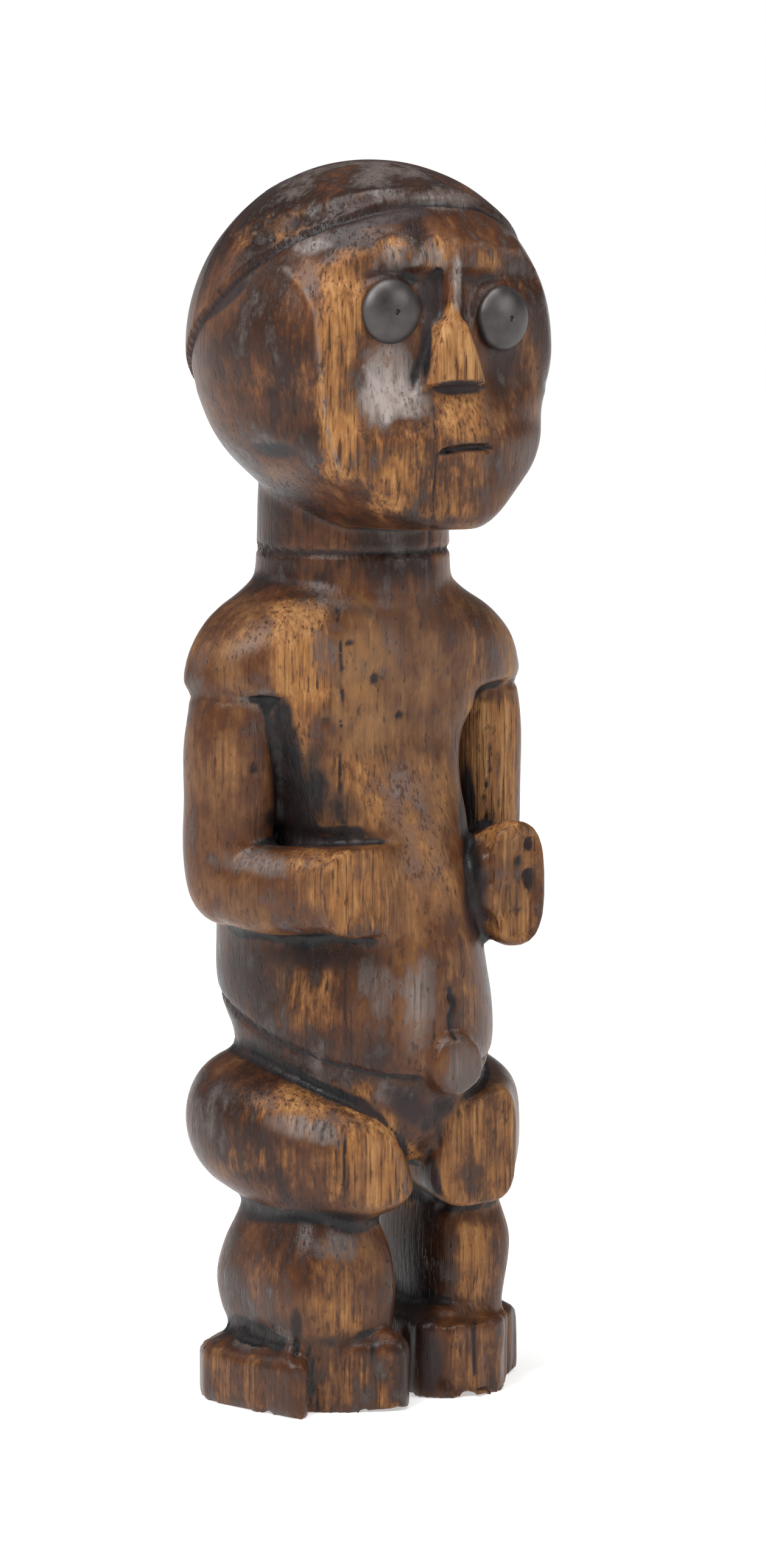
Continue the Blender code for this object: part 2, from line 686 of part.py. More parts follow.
# The mouth: a narrow slot in the muzzle
mouth_shape = bmesh.new()
bmesh.ops.create_cube(mouth_shape, size=1)
bmesh.ops.scale(
    mouth_shape, verts=mouth_shape.verts, vec=Vector((MOUTH_WIDTH, 2 * MOUTH_DEPTH, MOUTH_GAP)) * U
)
bmesh.ops.rotate(mouth_shape, verts=mouth_shape.verts, matrix=Matrix.Rotation(-MOUTH_SLANT, 3, "Y"))
mouth_place = Vector((1.2, -72.0, MOUTH_HEIGHT)) * U
bmesh.ops.translate(mouth_shape, verts=mouth_shape.verts, vec=mouth_place)
mouth = add_object("mouth", mesh_from_bmesh("mouth", mouth_shape), masses, wood)


# The eyes. Each disc lies in a shallow seat, with the clearance behind it and round its rim.
def eye_frame(side, name):
    """The matrix at the middle of an eye's seat, with its Z axis pointing out of the face."""
    spot = Vector((side * EYE_SPREAD, EYE_SEAT_Y, EYE_HEIGHTS[name])) * U
    outward = Matrix.Rotation(side * EYE_SPLAY, 4, "Z") @ Matrix.Rotation(math.pi / 2, 4, "X")
    return Matrix.Translation(spot) @ outward


def make_seat(side, name):
    """A cutter: a flat round plate from the seat outwards, as wide as the disc and its clearance."""
    shape = bmesh.new()
    radius = DISC_DIAMETER / 2 + CLEARANCE
    depth = 2 * DISC_DOME
    bmesh.ops.create_cone(
        shape, cap_ends=True, segments=24, radius1=radius, radius2=radius, depth=depth
    )
    bmesh.ops.translate(shape, verts=shape.verts, vec=Vector((0, 0, depth / 2)))
    obj = add_object(f"seat_{name}", mesh_from_bmesh("seat", shape), masses, wood)
    obj.matrix_local = eye_frame(side, name)
    return obj


def make_disc(side, name):
    """A domed disc: its profile runs from the pin hole over the dome and rim to the back's middle."""
    radius, pin = DISC_DIAMETER / 2, DISC_PIN_HOLE / 2
    top = CLEARANCE + DISC_DOME
    profile = [(0, top - 0.0009), (0.6 * pin, top - 0.0007)]
    bend = 0.96
    for share in np.linspace(pin / radius, 1, 7):
        edge = math.sqrt(1 - bend**2)
        rise = (math.sqrt(1 - (bend * share) ** 2) - edge) / (1 - edge)
        profile.append((radius * share, CLEARANCE + DISC_RIM + (DISC_DOME - DISC_RIM) * rise))
    profile += [(radius, CLEARANCE), (0, CLEARANCE)]
    mesh = bpy.data.meshes.new(f"eye_disc_{name}")
    points = [(x, 0, z) for x, z in profile]
    mesh.from_pydata(points, [(k, k + 1) for k in range(len(points) - 1)], [])
    obj = add_object(f"eye_disc_{name}", mesh, figure_parts, dark_metal)
    obj.matrix_local = eye_frame(side, name)
    screw = obj.modifiers.new("turn", "SCREW")
    screw.axis = "Z"
    screw.steps = 24
    screw.render_steps = 24
    screw.use_merge_vertices = True
    screw.merge_threshold = 0.00001
    return obj


seats = [make_seat(RIGHT, "right"), make_seat(LEFT, "left")]
make_disc(RIGHT, "right")
make_disc(LEFT, "left")

# The figure: the trunk carries the other masses. The lines are cut before the knob is joined on, so that
# they stop at its root, and the mouth and the seats come last.
figure = trunk
masses.objects.unlink(figure)
figure_parts.objects.link(figure)
figure.name = "figure"
figure.hide_render = False
figure.display_type = "TEXTURED"
for mass in [back, neck, head, cap, nose, *limbs, left_fist, right_hand]:
    boolean(figure, mass, "UNION")
for cutter in [neck_line, groin_line]:
    boolean(figure, cutter, "DIFFERENCE")
boolean(figure, knob, "UNION")
for cutter in [mouth, *seats]:
    boolean(figure, cutter, "DIFFERENCE")
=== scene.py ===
"""A standing ape figure carved from one block of dark hardwood, with two domed metal discs for eyes.

The carving is written in its own units of 1/448 of its height, measured from the axis of its neck, with the
figure facing -Y. The masses of the body are rounded sections carried along the grain, the joined block is
then cut and worn, and its marks are given where the photograph shows them.
"""

import math

import bpy
import numpy as np
from mathutils import Matrix, Vector


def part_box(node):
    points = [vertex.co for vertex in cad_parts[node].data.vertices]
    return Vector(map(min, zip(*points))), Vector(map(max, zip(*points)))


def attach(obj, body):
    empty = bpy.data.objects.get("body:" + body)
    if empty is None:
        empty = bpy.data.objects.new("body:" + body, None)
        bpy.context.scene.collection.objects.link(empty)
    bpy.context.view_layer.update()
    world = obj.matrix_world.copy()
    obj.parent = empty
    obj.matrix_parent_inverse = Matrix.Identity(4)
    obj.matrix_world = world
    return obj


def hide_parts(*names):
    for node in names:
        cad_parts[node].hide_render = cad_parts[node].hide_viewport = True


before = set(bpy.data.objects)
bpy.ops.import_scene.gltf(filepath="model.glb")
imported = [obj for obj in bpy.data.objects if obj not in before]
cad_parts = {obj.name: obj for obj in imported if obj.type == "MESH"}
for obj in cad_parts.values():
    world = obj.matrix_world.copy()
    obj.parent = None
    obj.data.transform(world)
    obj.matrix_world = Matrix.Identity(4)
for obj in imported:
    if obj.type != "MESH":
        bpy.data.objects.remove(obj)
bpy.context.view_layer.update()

# The camera stands where the photograph was taken from: in front of the figure's right side, a little
# above its middle. The figure's marks are measured in the photograph's frame, so this section also gives
# the place in that frame where each point of the figure falls.
PHOTO_WIDTH = 1258
PHOTO_HEIGHT = 2576
VIEW_TURN = math.radians(-34)
VIEW_TILT = math.radians(6)
VIEW_DISTANCE = 2.2
FOCAL_LENGTH = 9908
NECK_SETBACK = 7.9
AIM_HEIGHT = 0.2215
AIM_SHIFT = 0.0109
SENSOR = 36.0
CARVING_HEIGHT = 448.1

lowest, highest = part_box("figure")
UNIT = (highest.z - lowest.z) / CARVING_HEIGHT

view_right = np.array([math.cos(VIEW_TURN), math.sin(VIEW_TURN), 0])
view_back = np.array(
    [
        math.sin(VIEW_TURN) * math.cos(VIEW_TILT),
        -math.cos(VIEW_TURN) * math.cos(VIEW_TILT),
        math.sin(VIEW_TILT),
    ]
)
view_up = np.cross(view_back, view_right)
view_point = np.array([0, NECK_SETBACK * UNIT, AIM_HEIGHT]) + AIM_SHIFT * view_right
view_point = view_point + VIEW_DISTANCE * view_back



def in_scene(name, data):
    """A new object of the scene that carries the data."""
    thing = bpy.data.objects.new(name, data)
    bpy.context.scene.collection.objects.link(thing)
    return thing


camera = in_scene("camera", bpy.data.cameras.new("camera"))
camera.location = view_point
camera.rotation_euler = Vector(-view_back).to_track_quat("-Z", "Y").to_euler()
camera.data.sensor_fit = "VERTICAL"
camera.data.sensor_height = SENSOR
camera.data.lens = FOCAL_LENGTH * SENSOR / PHOTO_HEIGHT
bpy.context.scene.camera = camera


def to_metres(points):
    """Points of the carving in metres, in the frame: the neck's axis stands behind the middle."""
    return (points + np.array([0, NECK_SETBACK, 0])) * UNIT


def in_photograph(points):
    """Pixels across and down where points fall: their offset from the camera over their depth."""
    offset = to_metres(points) - view_point
    depth = -offset @ view_back
    across = PHOTO_WIDTH / 2 + FOCAL_LENGTH * (offset @ view_right) / depth
    down = PHOTO_HEIGHT / 2 - FOCAL_LENGTH * (offset @ view_up) / depth
    return across, down


# The trunk and neck: the middle of the block, a round neck on a chest that is cut back flat above the
# hands and swells to the belly, and a broader plain back. A row of sizes gives one rounded section.
NECK_ROWS = [
    # height, middle x, middle y, half width, front, back, power in front, power behind
    (280.0, 0, 0, 36.0, 35.5, 36.0, 2, 2),
    (300.0, 0, 0, 35.4, 35.4, 35.4, 2, 2),
    (325.0, 0, 0, 34.6, 34.6, 34.6, 2, 2),
    (346.0, 0, 0, 33.6, 33.6, 33.6, 2, 2),
]
CHEST_ROWS = [
    (298.0, 0, 0, 34.5, 33.0, 34.0, 2.0, 2.0),
    (296.0, 0, 0, 38.0, 33.8, 33.5, 2.0, 2.1),
    (292.0, 0, 0, 43.5, 34.8, 32.0, 2.0, 2.3),
    (286.0, 0, 0, 54.0, 35.5, 28.0, 2.0, 2.6),
    (280.0, 0, 0, 60.5, 35.8, 25.0, 2.1, 3.0),
    (274.0, 0, 0, 65.0, 35.6, 24.0, 2.15, 3.0),
    (266.0, 0, 0, 68.0, 34.8, 23.0, 2.15, 3.0),
    (259.6, 0, 0, 67.6, 34.2, 21.0, 2.15, 3.0),
    (257.4, -3.5, 0, 47.0, 34.0, 18.0, 3.6, 2.0),
    (251.0, -4.5, 0, 44.4, 33.8, 18.0, 4.0, 2.0),
    (240.0, -5.0, 0, 39.0, 33.5, 18.0, 4.0, 2.0),
    (223.0, -3.0, 0, 35.6, 37.5, 18.0, 3.4, 2.0),
    (207.0, 0, 0, 36.4, 45.5, 18.0, 2.4, 2.0),
    (190.0, 0, 0, 37.0, 53.2, 20.0, 2.1, 2.0),
    (172.0, 0, 0, 40.5, 57.0, 24.0, 2.0, 2.0),
    (156.0, 0, 0, 43.5, 58.8, 30.0, 2.0, 2.0),
    (142.0, 0, 0, 46.2, 59.2, 34.0, 2.0, 2.3),
    (128.0, 0, 0, 44.4, 57.4, 31.0, 2.2, 2.4),
    (115.0, 0, 0, 40.0, 53.0, 31.0, 2.2, 2.3),
    (101.0, 0, 0, 35.0, 49.5, 29.0, 2.3, 2.2),
    (88.0, 0, 0, 26.0, 41.0, 23.0, 2.0, 2.0),
]
BACK_ROWS = [
    (293.0, 0, 5, 38.0, 20.0, 30.0, 3.0, 2.1),
    (285.0, 0, 5, 52.0, 20.0, 31.5, 3.0, 2.2),
    (272.0, 0, 6, 55.0, 18.0, 30.0, 3.0, 2.3),
    (254.0, 0, 7, 50.0, 14.0, 27.0, 3.0, 2.4),
    (228.0, 0, 8, 47.0, 14.5, 24.5, 3.0, 2.4),
    (205.0, 0, 8, 47.0, 16.0, 26.5, 3.0, 2.4),
    (186.0, 0, 6, 48.0, 22.0, 34.0, 2.6, 2.5),
    (168.0, 0, 0, 48.4, 34.0, 44.5, 2.2, 2.5),
    (152.0, 0, 0, 47.6, 40.0, 45.5, 2.0, 2.5),
    (139.0, 0, 0, 45.6, 40.0, 38.5, 2.0, 2.5),
    (126.0, 0, 0, 41.0, 36.0, 31.0, 2.0, 2.4),
    (112.0, 0, 0, 37.0, 34.0, 33.0, 2.0, 2.3),
    (98.0, 0, 0, 30.0, 30.0, 30.0, 2.0, 2.2),
    (88.0, 0, 0, 20.0, 24.0, 22.0, 2.0, 2.0),
]
RIGHT = -1
LEFT = 1
SPAN_STEPS = 6
RING_POINTS = 120
masses = []


def smooth_rows(rows):
    """Rows on a smooth curve: each span is the cubic that keeps its neighbours' mean slopes."""
    knots = np.array(rows, float)
    before = np.vstack([2 * knots[0] - knots[1], knots[:-1]])[:-1][:, None]
    after = np.vstack([knots[2:], 2 * knots[-1] - knots[-2]])[:, None]
    start, end = knots[:-1][:, None], knots[1:][:, None]
    t = (np.arange(SPAN_STEPS) / SPAN_STEPS)[None, :, None]
    curve = 0.5 * (
        2 * start
        + (end - before) * t
        + (2 * before - 5 * start + 4 * end - after) * t**2
        + (3 * start - 3 * end + after - before) * t**3
    )
    return np.vstack([curve.reshape(-1, knots.shape[1]), knots[-1:]])


def section(rows, angle):
    """Points of rounded sections: each reach times a cosine or sine to the power 2 over the power."""
    middle_x, middle_y, half_width, front, back, power_front, power_back = (
        rows[..., k] for k in range(1, 8)
    )
    c, s = np.cos(angle), np.sin(angle)
    power = np.where(s < 0, power_front, power_back)
    reach = np.where(s < 0, front, back)
    x = middle_x + half_width * np.sign(c) * np.abs(c) ** (2 / power)
    y = middle_y + reach * np.sign(s) * np.abs(s) ** (2 / power)
    return x, y


def full_turn(count):
    """Angles once round, at even steps."""
    return np.linspace(0, 2 * math.pi, count, endpoint=False)


def add_mass(grid):
    """Keeps a mass: rings of points, closed by drawing the first and last rings in to their middles."""
    first = np.broadcast_to(grid[:1].mean(axis=1, keepdims=True), grid[:1].shape)
    last = np.broadcast_to(grid[-1:].mean(axis=1, keepdims=True), grid[-1:].shape)
    masses.append(np.concatenate([first, grid, last]))


def carry(rows, forward=False):
    """A mass: its sections carried along smooth rows, upwards, or to the front, over station and turn."""
    smooth = smooth_rows(rows)
    x, y = section(smooth[:, None], full_turn(RING_POINTS))
    station = np.broadcast_to(smooth[:, :1], x.shape)
    if forward:
        return np.stack([x, -station, y], axis=-1)
    return np.stack([x, y, station], axis=-1)


add_mass(carry(NECK_ROWS))
add_mass(carry(CHEST_ROWS))
add_mass(carry(BACK_ROWS))

# The head: a ball whose front is cut back to a worn mask of a face, with a wedge nose that is flat in
# front and a thin ridge above it. The eyes' seats are flat pads in the sockets.
HEAD_CENTRE = (0, -11.4, 381.5)
HEAD_RADIUS = 65.2
NAPE_TAPER = 0.24
EYE_SPREAD = 23.9
EYE_SEAT_Y = -59.2
EYE_HEIGHTS = {RIGHT: 395.0, LEFT: 392.0}
EYE_SPLAY = math.radians(6)
SEAT_PAD = 11.0
SEAT_DEPTH = 0.6
SEAT_EASE = 3.0
CHIN_LATITUDE = math.asin(-0.98)
CROWN_LATITUDE = math.radians(89)
JAW_SQUARENESS = 0.8
JAW_SQUARE_BELOW = 335.0
JAW_ROUND_ABOVE = 362.0
FRONT_CROWDING = 0.35
FACE_EASE = 2.0
JAW_ROWS = [
    # height, half width, reach to the front
    (316.0, 17, 48),
    (318.5, 24, 55.5),
    (323.0, 31, 59.0),
    (331.0, 40, 60.5),
    (341.0, 50.5, 61.5),
    (352.0, 58.5, 61.5),
    (366.0, 63.3, 63),
]
FACE_ROWS = [
    # height, depth on the middle line, how much farther back it is 50 to the side
    (316.0, -62.0, 24),
    (320.0, -68.6, 24),
    (330.0, -70.2, 24),
    (341.0, -71.0, 23),
    (349.0, -71.3, 22),
    (356.0, -69.3, 21),
    (363.0, -67.0, 16),
    (370.0, -63.8, 12),
    (378.0, -62.4, 9),
    (392.0, -62.0, 8),
    (402.0, -61.2, 9),
    (407.0, -59.6, 10),
    (411.0, -61.6, 13),
    (416.0, -61.4, 15),
    (420.0, -59.5, 17),
    (426.0, -56.3, 19),
    (432.0, -53.6, 20),
    (440.0, -50.0, 20),
]
FACE_HOLLOWS = [
    # depth, middle to the side, half width, middle height, half height, power: sockets, cheeks, lips
    (2.6, 15, 13, 400, 9, 4),
    (2.2, 24, 11, 372, 13, 2),
    (-0.8, 0, 21, 351, 9, 4),
]
NOSE_ROWS = [
    # height, middle x, middle y, half width, front, back, powers
    (369.0, -0.8, -60, 13.3, 8.8, 8, 7, 4),
    (380.0, -0.8, -60, 9.6, 8.4, 8, 7, 4),
    (390.0, -0.6, -60, 5.9, 7.4, 8, 6, 4),
    (394.0, -0.2, -60, 3.4, 6.0, 8, 4, 4),
    (404.0, 0.0, -60, 2.6, 4.4, 8, 3, 4),
    (412.0, 0.0, -60, 2.4, 2.4, 8, 3, 4),
]


def column(rows, index, height):
    """One column of a table at each height, on the smooth curve through its rows."""
    knots = smooth_rows(rows)
    return np.interp(height, knots[:, 0], knots[:, index])


def soft_max(a, b, blend):
    """The larger of two values, rounded by a parabola where they are closer than the blend."""
    h = np.maximum(blend - np.abs(a - b), 0) / blend
    return np.maximum(a, b) + h * h * blend / 4


def smooth_step(low, high, value):
    """From 0 to 1 between low and high, on the cubic 3t squared less 2t cubed."""
    t = np.clip((value - low) / (high - low), 0, 1)
    return t * t * (3 - 2 * t)


def falling(low, high, value):
    """From 1 to 0 between low and high, on the same cubic."""
    return 1 - smooth_step(low, high, value)


def seat_plane(side, x):
    """Depth of an eye's seat over x: a plane that splays back to the side."""
    return EYE_SEAT_Y + (side * x - EYE_SPREAD) * math.tan(EYE_SPLAY)


def face_depth(x, z):
    """Depth of the face over x and z: the profile plus a parabola to the sides, hollows, and eye pads."""
    y = column(FACE_ROWS, 1, z) + column(FACE_ROWS, 2, z) * (x / 50) ** 2
    for depth, aside, half_width, height, half_height, power in FACE_HOLLOWS:
        away = ((np.abs(x) - aside) / half_width) ** power + ((z - height) / half_height) ** power
        y = y + depth * np.exp(-away)
    for side, height in EYE_HEIGHTS.items():
        away = np.hypot(x - side * EYE_SPREAD, z - height)
        pad = falling(SEAT_PAD, SEAT_PAD + SEAT_EASE, away)
        y = y + (seat_plane(side, x) - SEAT_DEPTH - y) * pad
    return y


def head_surface(around, levels):
    """The head over turn and latitude: the ball, or the jaw's section where wider, cut by the face."""
    latitude = np.linspace(CHIN_LATITUDE, CROWN_LATITUDE, levels)
    z = HEAD_CENTRE[2] + HEAD_RADIUS * np.sin(latitude)
    below = np.clip((HEAD_CENTRE[2] - z) / HEAD_RADIUS, 0, 1)
    ball = HEAD_RADIUS * np.cos(latitude) * (1 - NAPE_TAPER * below**2)
    jaw = z < JAW_ROWS[-1][0]
    half_width = np.where(jaw, np.maximum(ball, column(JAW_ROWS, 1, z)), ball)
    front = np.where(jaw, np.maximum(ball, column(JAW_ROWS, 2, z)), ball)
    squareness = 2 + JAW_SQUARENESS * falling(JAW_SQUARE_BELOW, JAW_ROUND_ABOVE, z)
    flat = np.zeros_like(z)
    rows = np.stack(
        [z, flat, flat + HEAD_CENTRE[1], half_width, front, ball, squareness, flat + 2], axis=-1
    )
    turn = full_turn(around)
    x, y = section(rows[:, None], turn - math.pi / 2 - FRONT_CROWDING * np.sin(turn))
    z = np.broadcast_to(z[:, None], x.shape)
    facing = y < HEAD_CENTRE[1]
    y = np.where(facing, soft_max(y, face_depth(x, z), FACE_EASE), y)
    return np.stack([x, y, z], axis=-1)


add_mass(head_surface(around=260, levels=180))
add_mass(carry(NOSE_ROWS))

# The arms: shoulders rounded off in a step, straight upper arms, and forearms that turn forwards to the
# belly. The right hand is worn flat into the belly, and the left fist is a slab that stands clear of it.
ARM_OUT = 54.2
HAND_TURN = 0.28
HAND_TURN_FROM = -30.0
SHOULDER_EDGE = 258.0
ARM_ROWS = [
    (272.0, ARM_OUT - 4.0, 0, 12.5, 12.5, 12.5, 2, 2),
    (262.0, ARM_OUT - 1.2, 0, 13.6, 15.6, 14.2, 2, 2),
    (252.0, ARM_OUT - 0.4, 0, 14.6, 17.6, 15.0, 2.2, 2),
    (238.0, ARM_OUT, 0, 15.9, 17.8, 16.0, 2.2, 2),
    (215.0, ARM_OUT, 0, 16.0, 17.4, 16.2, 2.1, 2),
    (197.0, ARM_OUT, 0, 15.8, 16.8, 16.2, 2, 2),
    (184.0, ARM_OUT - 0.8, -1, 14.8, 16.0, 14.6, 2, 2),
    (176.5, ARM_OUT - 2.2, -2, 11.0, 13.0, 11.0, 2, 2),
    (173.2, ARM_OUT - 4.0, -3, 5.5, 8.0, 5.5, 2, 2),
]
FOREARM_ROWS = [
    # distance in front of the neck's axis, middle x, middle height, half width, down, up, powers
    (-3.0, 51.0, 188.5, 12.5, 10.0, 12.0, 2.2, 2.2),
    (9.0, 49.8, 187.5, 16.8, 14.2, 15.6, 2.4, 2.4),
    (24.0, 45.6, 187.5, 17.3, 15.6, 16.0, 2.6, 2.6),
    (38.0, 39.0, 189.0, 16.4, 15.6, 15.4, 2.7, 2.7),
    (47.0, 34.4, 189.5, 15.0, 15.8, 15.4, 2.8, 2.8),
    (53.0, 32.4, 189.5, 13.0, 15.2, 14.8, 3.0, 3.0),
]
RIGHT_HAND_ROWS = [
    (28.0, 27.0, 189.0, 15.0, 13.0, 14.0, 3.0, 3.0),
    (44.0, 27.6, 189.2, 18.2, 15.8, 15.6, 3.4, 3.4),
    (52.6, 28.0, 189.4, 19.0, 17.0, 16.0, 3.6, 4.0),
    (54.8, 28.2, 189.4, 17.6, 15.6, 15.0, 3.6, 4.0),
]
LEFT_FIST_ROWS = [
    (33.0, 34.6, 189.0, 11.8, 15.0, 14.0, 2.6, 2.6),
    (41.0, 34.6, 188.5, 12.3, 20.0, 19.5, 2.6, 2.6),
    (50.0, 34.4, 188.0, 12.5, 22.6, 22.6, 2.6, 2.6),
    (56.0, 34.0, 188.0, 12.2, 22.4, 22.6, 2.6, 2.6),
    (57.8, 33.8, 188.0, 11.0, 21.2, 21.2, 2.6, 2.6),
]


def mirrored(rows, side):
    """The rows with their middle x on the given side."""
    return [(row[0], side * row[1], *row[2:]) for row in rows]


for side in (RIGHT, LEFT):
    add_mass(carry(mirrored(ARM_ROWS, side)))
    add_mass(carry(mirrored(FOREARM_ROWS, side), forward=True))
hand = carry(mirrored(RIGHT_HAND_ROWS, RIGHT), forward=True)
hand[..., 1] += HAND_TURN * np.maximum(hand[..., 0] - HAND_TURN_FROM, 0)
add_mass(hand)
add_mass(carry(LEFT_FIST_ROWS, forward=True))

# The knob low on the belly: a short, not quite round peg with a flat end, left standing from the same
# block where the cut line meets the middle.
KNOB_RADIUS = 11.0
KNOB_HEIGHT = 125.0
KNOB_OUT = 4.3
KNOB_PROFILE = [(-44.0, 11.6), (-61.0, 11.0), (-62.2, 10.7), (-62.9, 9.9), (-63.0, 8.8)]
turn = full_turn(90)
knob_y, knob_r = (np.array(values)[:, None] for values in zip(*KNOB_PROFILE))
wobble = 1 + 0.02 * np.sin(3 * turn + 1) + 0.015 * np.sin(5 * turn)
add_mass(
    np.stack(
        [
            KNOB_OUT + knob_r * np.cos(turn) * wobble,
            knob_y + 0 * turn,
            KNOB_HEIGHT - knob_r * np.sin(turn) * wobble,
        ],
        axis=-1,
    )
)

# The legs: egg-shaped thighs that come forwards and lean in to the knees, on short square calves. They are
# cut from the same block, with the knees left as flat worn faces.
KNEE_LEAN = 0.44
KNEE_FRONT = 45.0
THIGH_BACK = -12.0
THIGH_ROWS = [
    (-37.0, 30.0, 104.0, 7.0, 7.0, 7.0, 2.0, 2.0),
    (-32.5, 31.5, 103.0, 16.5, 16.0, 16.0, 2.0, 2.0),
    (-21.0, 34.5, 101.5, 25.2, 24.5, 24.0, 2.0, 2.0),
    (-4.0, 36.0, 99.5, 28.2, 27.0, 27.0, 2.0, 2.0),
    (14.0, 34.5, 96.0, 27.8, 26.0, 25.0, 2.1, 2.0),
]
KNEE_ROWS = {
    RIGHT: [
        (30.0, 29.6, 91.2, 24.2, 22.0, 22.6, 2.4, 2.0),
        (41.0, 25.0, 87.4, 20.6, 17.8, 21.4, 2.5, 1.95),
        (47.5, 22.4, 85.6, 17.2, 14.4, 19.8, 2.5, 1.9),
        (51.0, 21.6, 85.0, 12.6, 10.4, 15.8, 2.4, 1.9),
    ],
    LEFT: [
        (30.0, 29.2, 92.0, 24.2, 22.8, 23.2, 2.4, 2.2),
        (42.0, 23.6, 89.0, 20.0, 18.8, 22.8, 2.8, 2.6),
        (49.0, 20.8, 88.2, 17.8, 17.4, 22.4, 3.2, 2.9),
        (50.8, 20.6, 88.2, 16.4, 16.0, 21.0, 3.2, 2.9),
    ],
}
CALF_ROWS = {
    RIGHT: [
        (82.0, 28.6, -8.0, 16.0, 25.0, 18.0, 3.0, 2.6),
        (68.0, 29.0, -8.0, 19.0, 32.0, 22.0, 4.0, 2.8),
        (57.0, 29.6, -8.0, 22.4, 35.5, 27.0, 5.0, 3.0),
        (44.0, 30.2, -8.0, 24.6, 37.0, 29.5, 5.0, 3.0),
        (32.0, 29.8, -8.0, 23.4, 36.5, 27.0, 5.0, 3.0),
        (22.0, 28.6, -8.0, 20.8, 35.5, 23.0, 5.0, 2.8),
        (12.0, 28.6, -8.0, 20.8, 35.0, 22.0, 5.0, 2.8),
    ],
    LEFT: [
        (82.0, 30.0, -8.0, 14.6, 24.0, 17.0, 2.6, 2.6),
        (68.0, 31.0, -8.0, 16.6, 29.0, 21.0, 2.8, 2.6),
        (56.0, 32.0, -8.0, 18.6, 31.5, 27.0, 3.0, 2.8),
        (45.0, 31.6, -8.0, 18.0, 31.5, 29.0, 3.0, 3.0),
        (33.0, 31.0, -8.0, 16.8, 30.0, 26.0, 3.0, 3.0),
        (22.0, 31.0, -8.0, 16.6, 29.5, 23.0, 2.8, 2.8),
        (12.0, 31.0, -8.0, 16.6, 29.0, 22.0, 2.8, 2.8),
    ],
}


def thigh(side):
    """An egg carried forwards, the tops of its sections sheared down to the middle line at the knee."""
    rows = THIGH_ROWS + KNEE_ROWS[side]
    grid = carry(mirrored(rows, side), forward=True)
    knots = np.array(rows)
    middle_x, middle_z, down, up = (
        np.interp(-grid[..., 1], knots[:, 0], knots[:, k]) for k in (1, 2, 4, 5)
    )
    lean = KNEE_LEAN * smooth_step(THIGH_BACK, KNEE_FRONT, -grid[..., 1])
    lean = lean * smooth_step(middle_z - down, middle_z + 0.5 * up, grid[..., 2])
    grid[..., 2] += lean * (side * grid[..., 0] - middle_x)
    return grid


for side in (RIGHT, LEFT):
    add_mass(thigh(side))
    add_mass(carry(mirrored(CALF_ROWS[side], side)))

# The feet: four blocks with a little rounding, two to a foot, cut flat underneath. Their outer front
# corners are broken off along the grain.
FOOT_BLOCKS = [
    # height, and the corners of the sole taken round
    # right foot: outer block, then inner block
    (20.5, [(-54.8, -46.5), (-49.0, -45.0), (-47.2, -36.0), (-30.0, -30.0), (-20.0, 0.0), (-26.0, 24.0),
            (-49.0, 21.0), (-59.0, 13.0), (-64.2, 2.0), (-61.0, -20.0)]),
    (25.5, [(-46.6, -37.0), (-30.0, -47.5), (-14.5, -54.5), (-8.5, -50.0), (-7.5, -30.0), (-8.5, 10.0),
            (-14.0, 20.0), (-32.0, 23.0), (-44.0, 10.0)]),
    # left foot: inner block, then outer block
    (28.5, [(3.2, -38.0), (12.5, -47.5), (24.0, -49.5), (36.0, -45.0), (45.0, -35.0), (46.5, -20.0),
            (44.0, 8.0), (32.0, 22.5), (14.0, 20.0), (6.0, 10.0)]),
    (25.0, [(44.0, -25.5), (55.0, -22.5), (62.6, -17.0), (63.8, 2.0), (59.0, 13.0), (49.0, 21.0),
            (32.0, 24.5), (24.0, 0.0)]),
]
FOOT_RING_POINTS = 200
SOLE_EDGE = [(0.0, 0.6), (0.7, 0.0)]
TOP_EDGE = [(-2.6, 0.0), (-1.0, 0.7), (0.0, 2.6), (3.5, 11.0)]


def foot_block(height, corners):
    """A block over outline and height: the sole's outline, drawn in towards its middle as it rises."""
    corners = np.array(corners)
    closed = np.vstack([corners, corners[:1]])
    run = np.concatenate([[0], np.cumsum(np.hypot(*np.diff(closed, axis=0).T))])
    step = np.linspace(0, run[-1], FOOT_RING_POINTS, endpoint=False)
    outline = np.stack([np.interp(step, run, closed[:, k]) for k in range(2)], axis=-1)
    middle = corners.mean(axis=0)
    away = (outline - middle) / np.linalg.norm(outline - middle, axis=1, keepdims=True)
    rings = []
    for rise, inset in SOLE_EDGE + [(height + rise, inset) for rise, inset in TOP_EDGE]:
        rings.append(np.column_stack([outline - away * inset, np.full(len(outline), rise)]))
    return np.array(rings)


for height, corners in FOOT_BLOCKS:
    add_mass(foot_block(height, corners))

# The block: all the masses are one piece of wood, so they are fused into one skin on an even lattice.
# The space is stretched first round the face and the front, where the carving is finest, and let back
# after, so that the skin's points stand closer there than on the plain back.
LATTICE = 1.86
HEAD_ZOOM = [(-20, 0.95), (300, 0.95), (335, 1.3), (470, 1.3)]
FRONT_ZOOM = [(-110, 1.18), (-45, 1.14), (10, 0.9), (80, 0.82)]
MIDDLE_HEIGHT = 224.0
ZOOM_STATIONS = 600
SKIN_PASSES = 2


def zoom_curve(knots):
    """A zoom's stations, its factor at each, and the stretched stations: the factor summed along."""
    station = np.linspace(knots[0][0], knots[-1][0], ZOOM_STATIONS)
    factor = np.interp(station, *zip(*knots))
    mean = (factor[1:] + factor[:-1]) / 2
    run = np.concatenate([[0], np.cumsum(mean * np.diff(station))])
    return station, factor, run - np.interp(0, station, run)


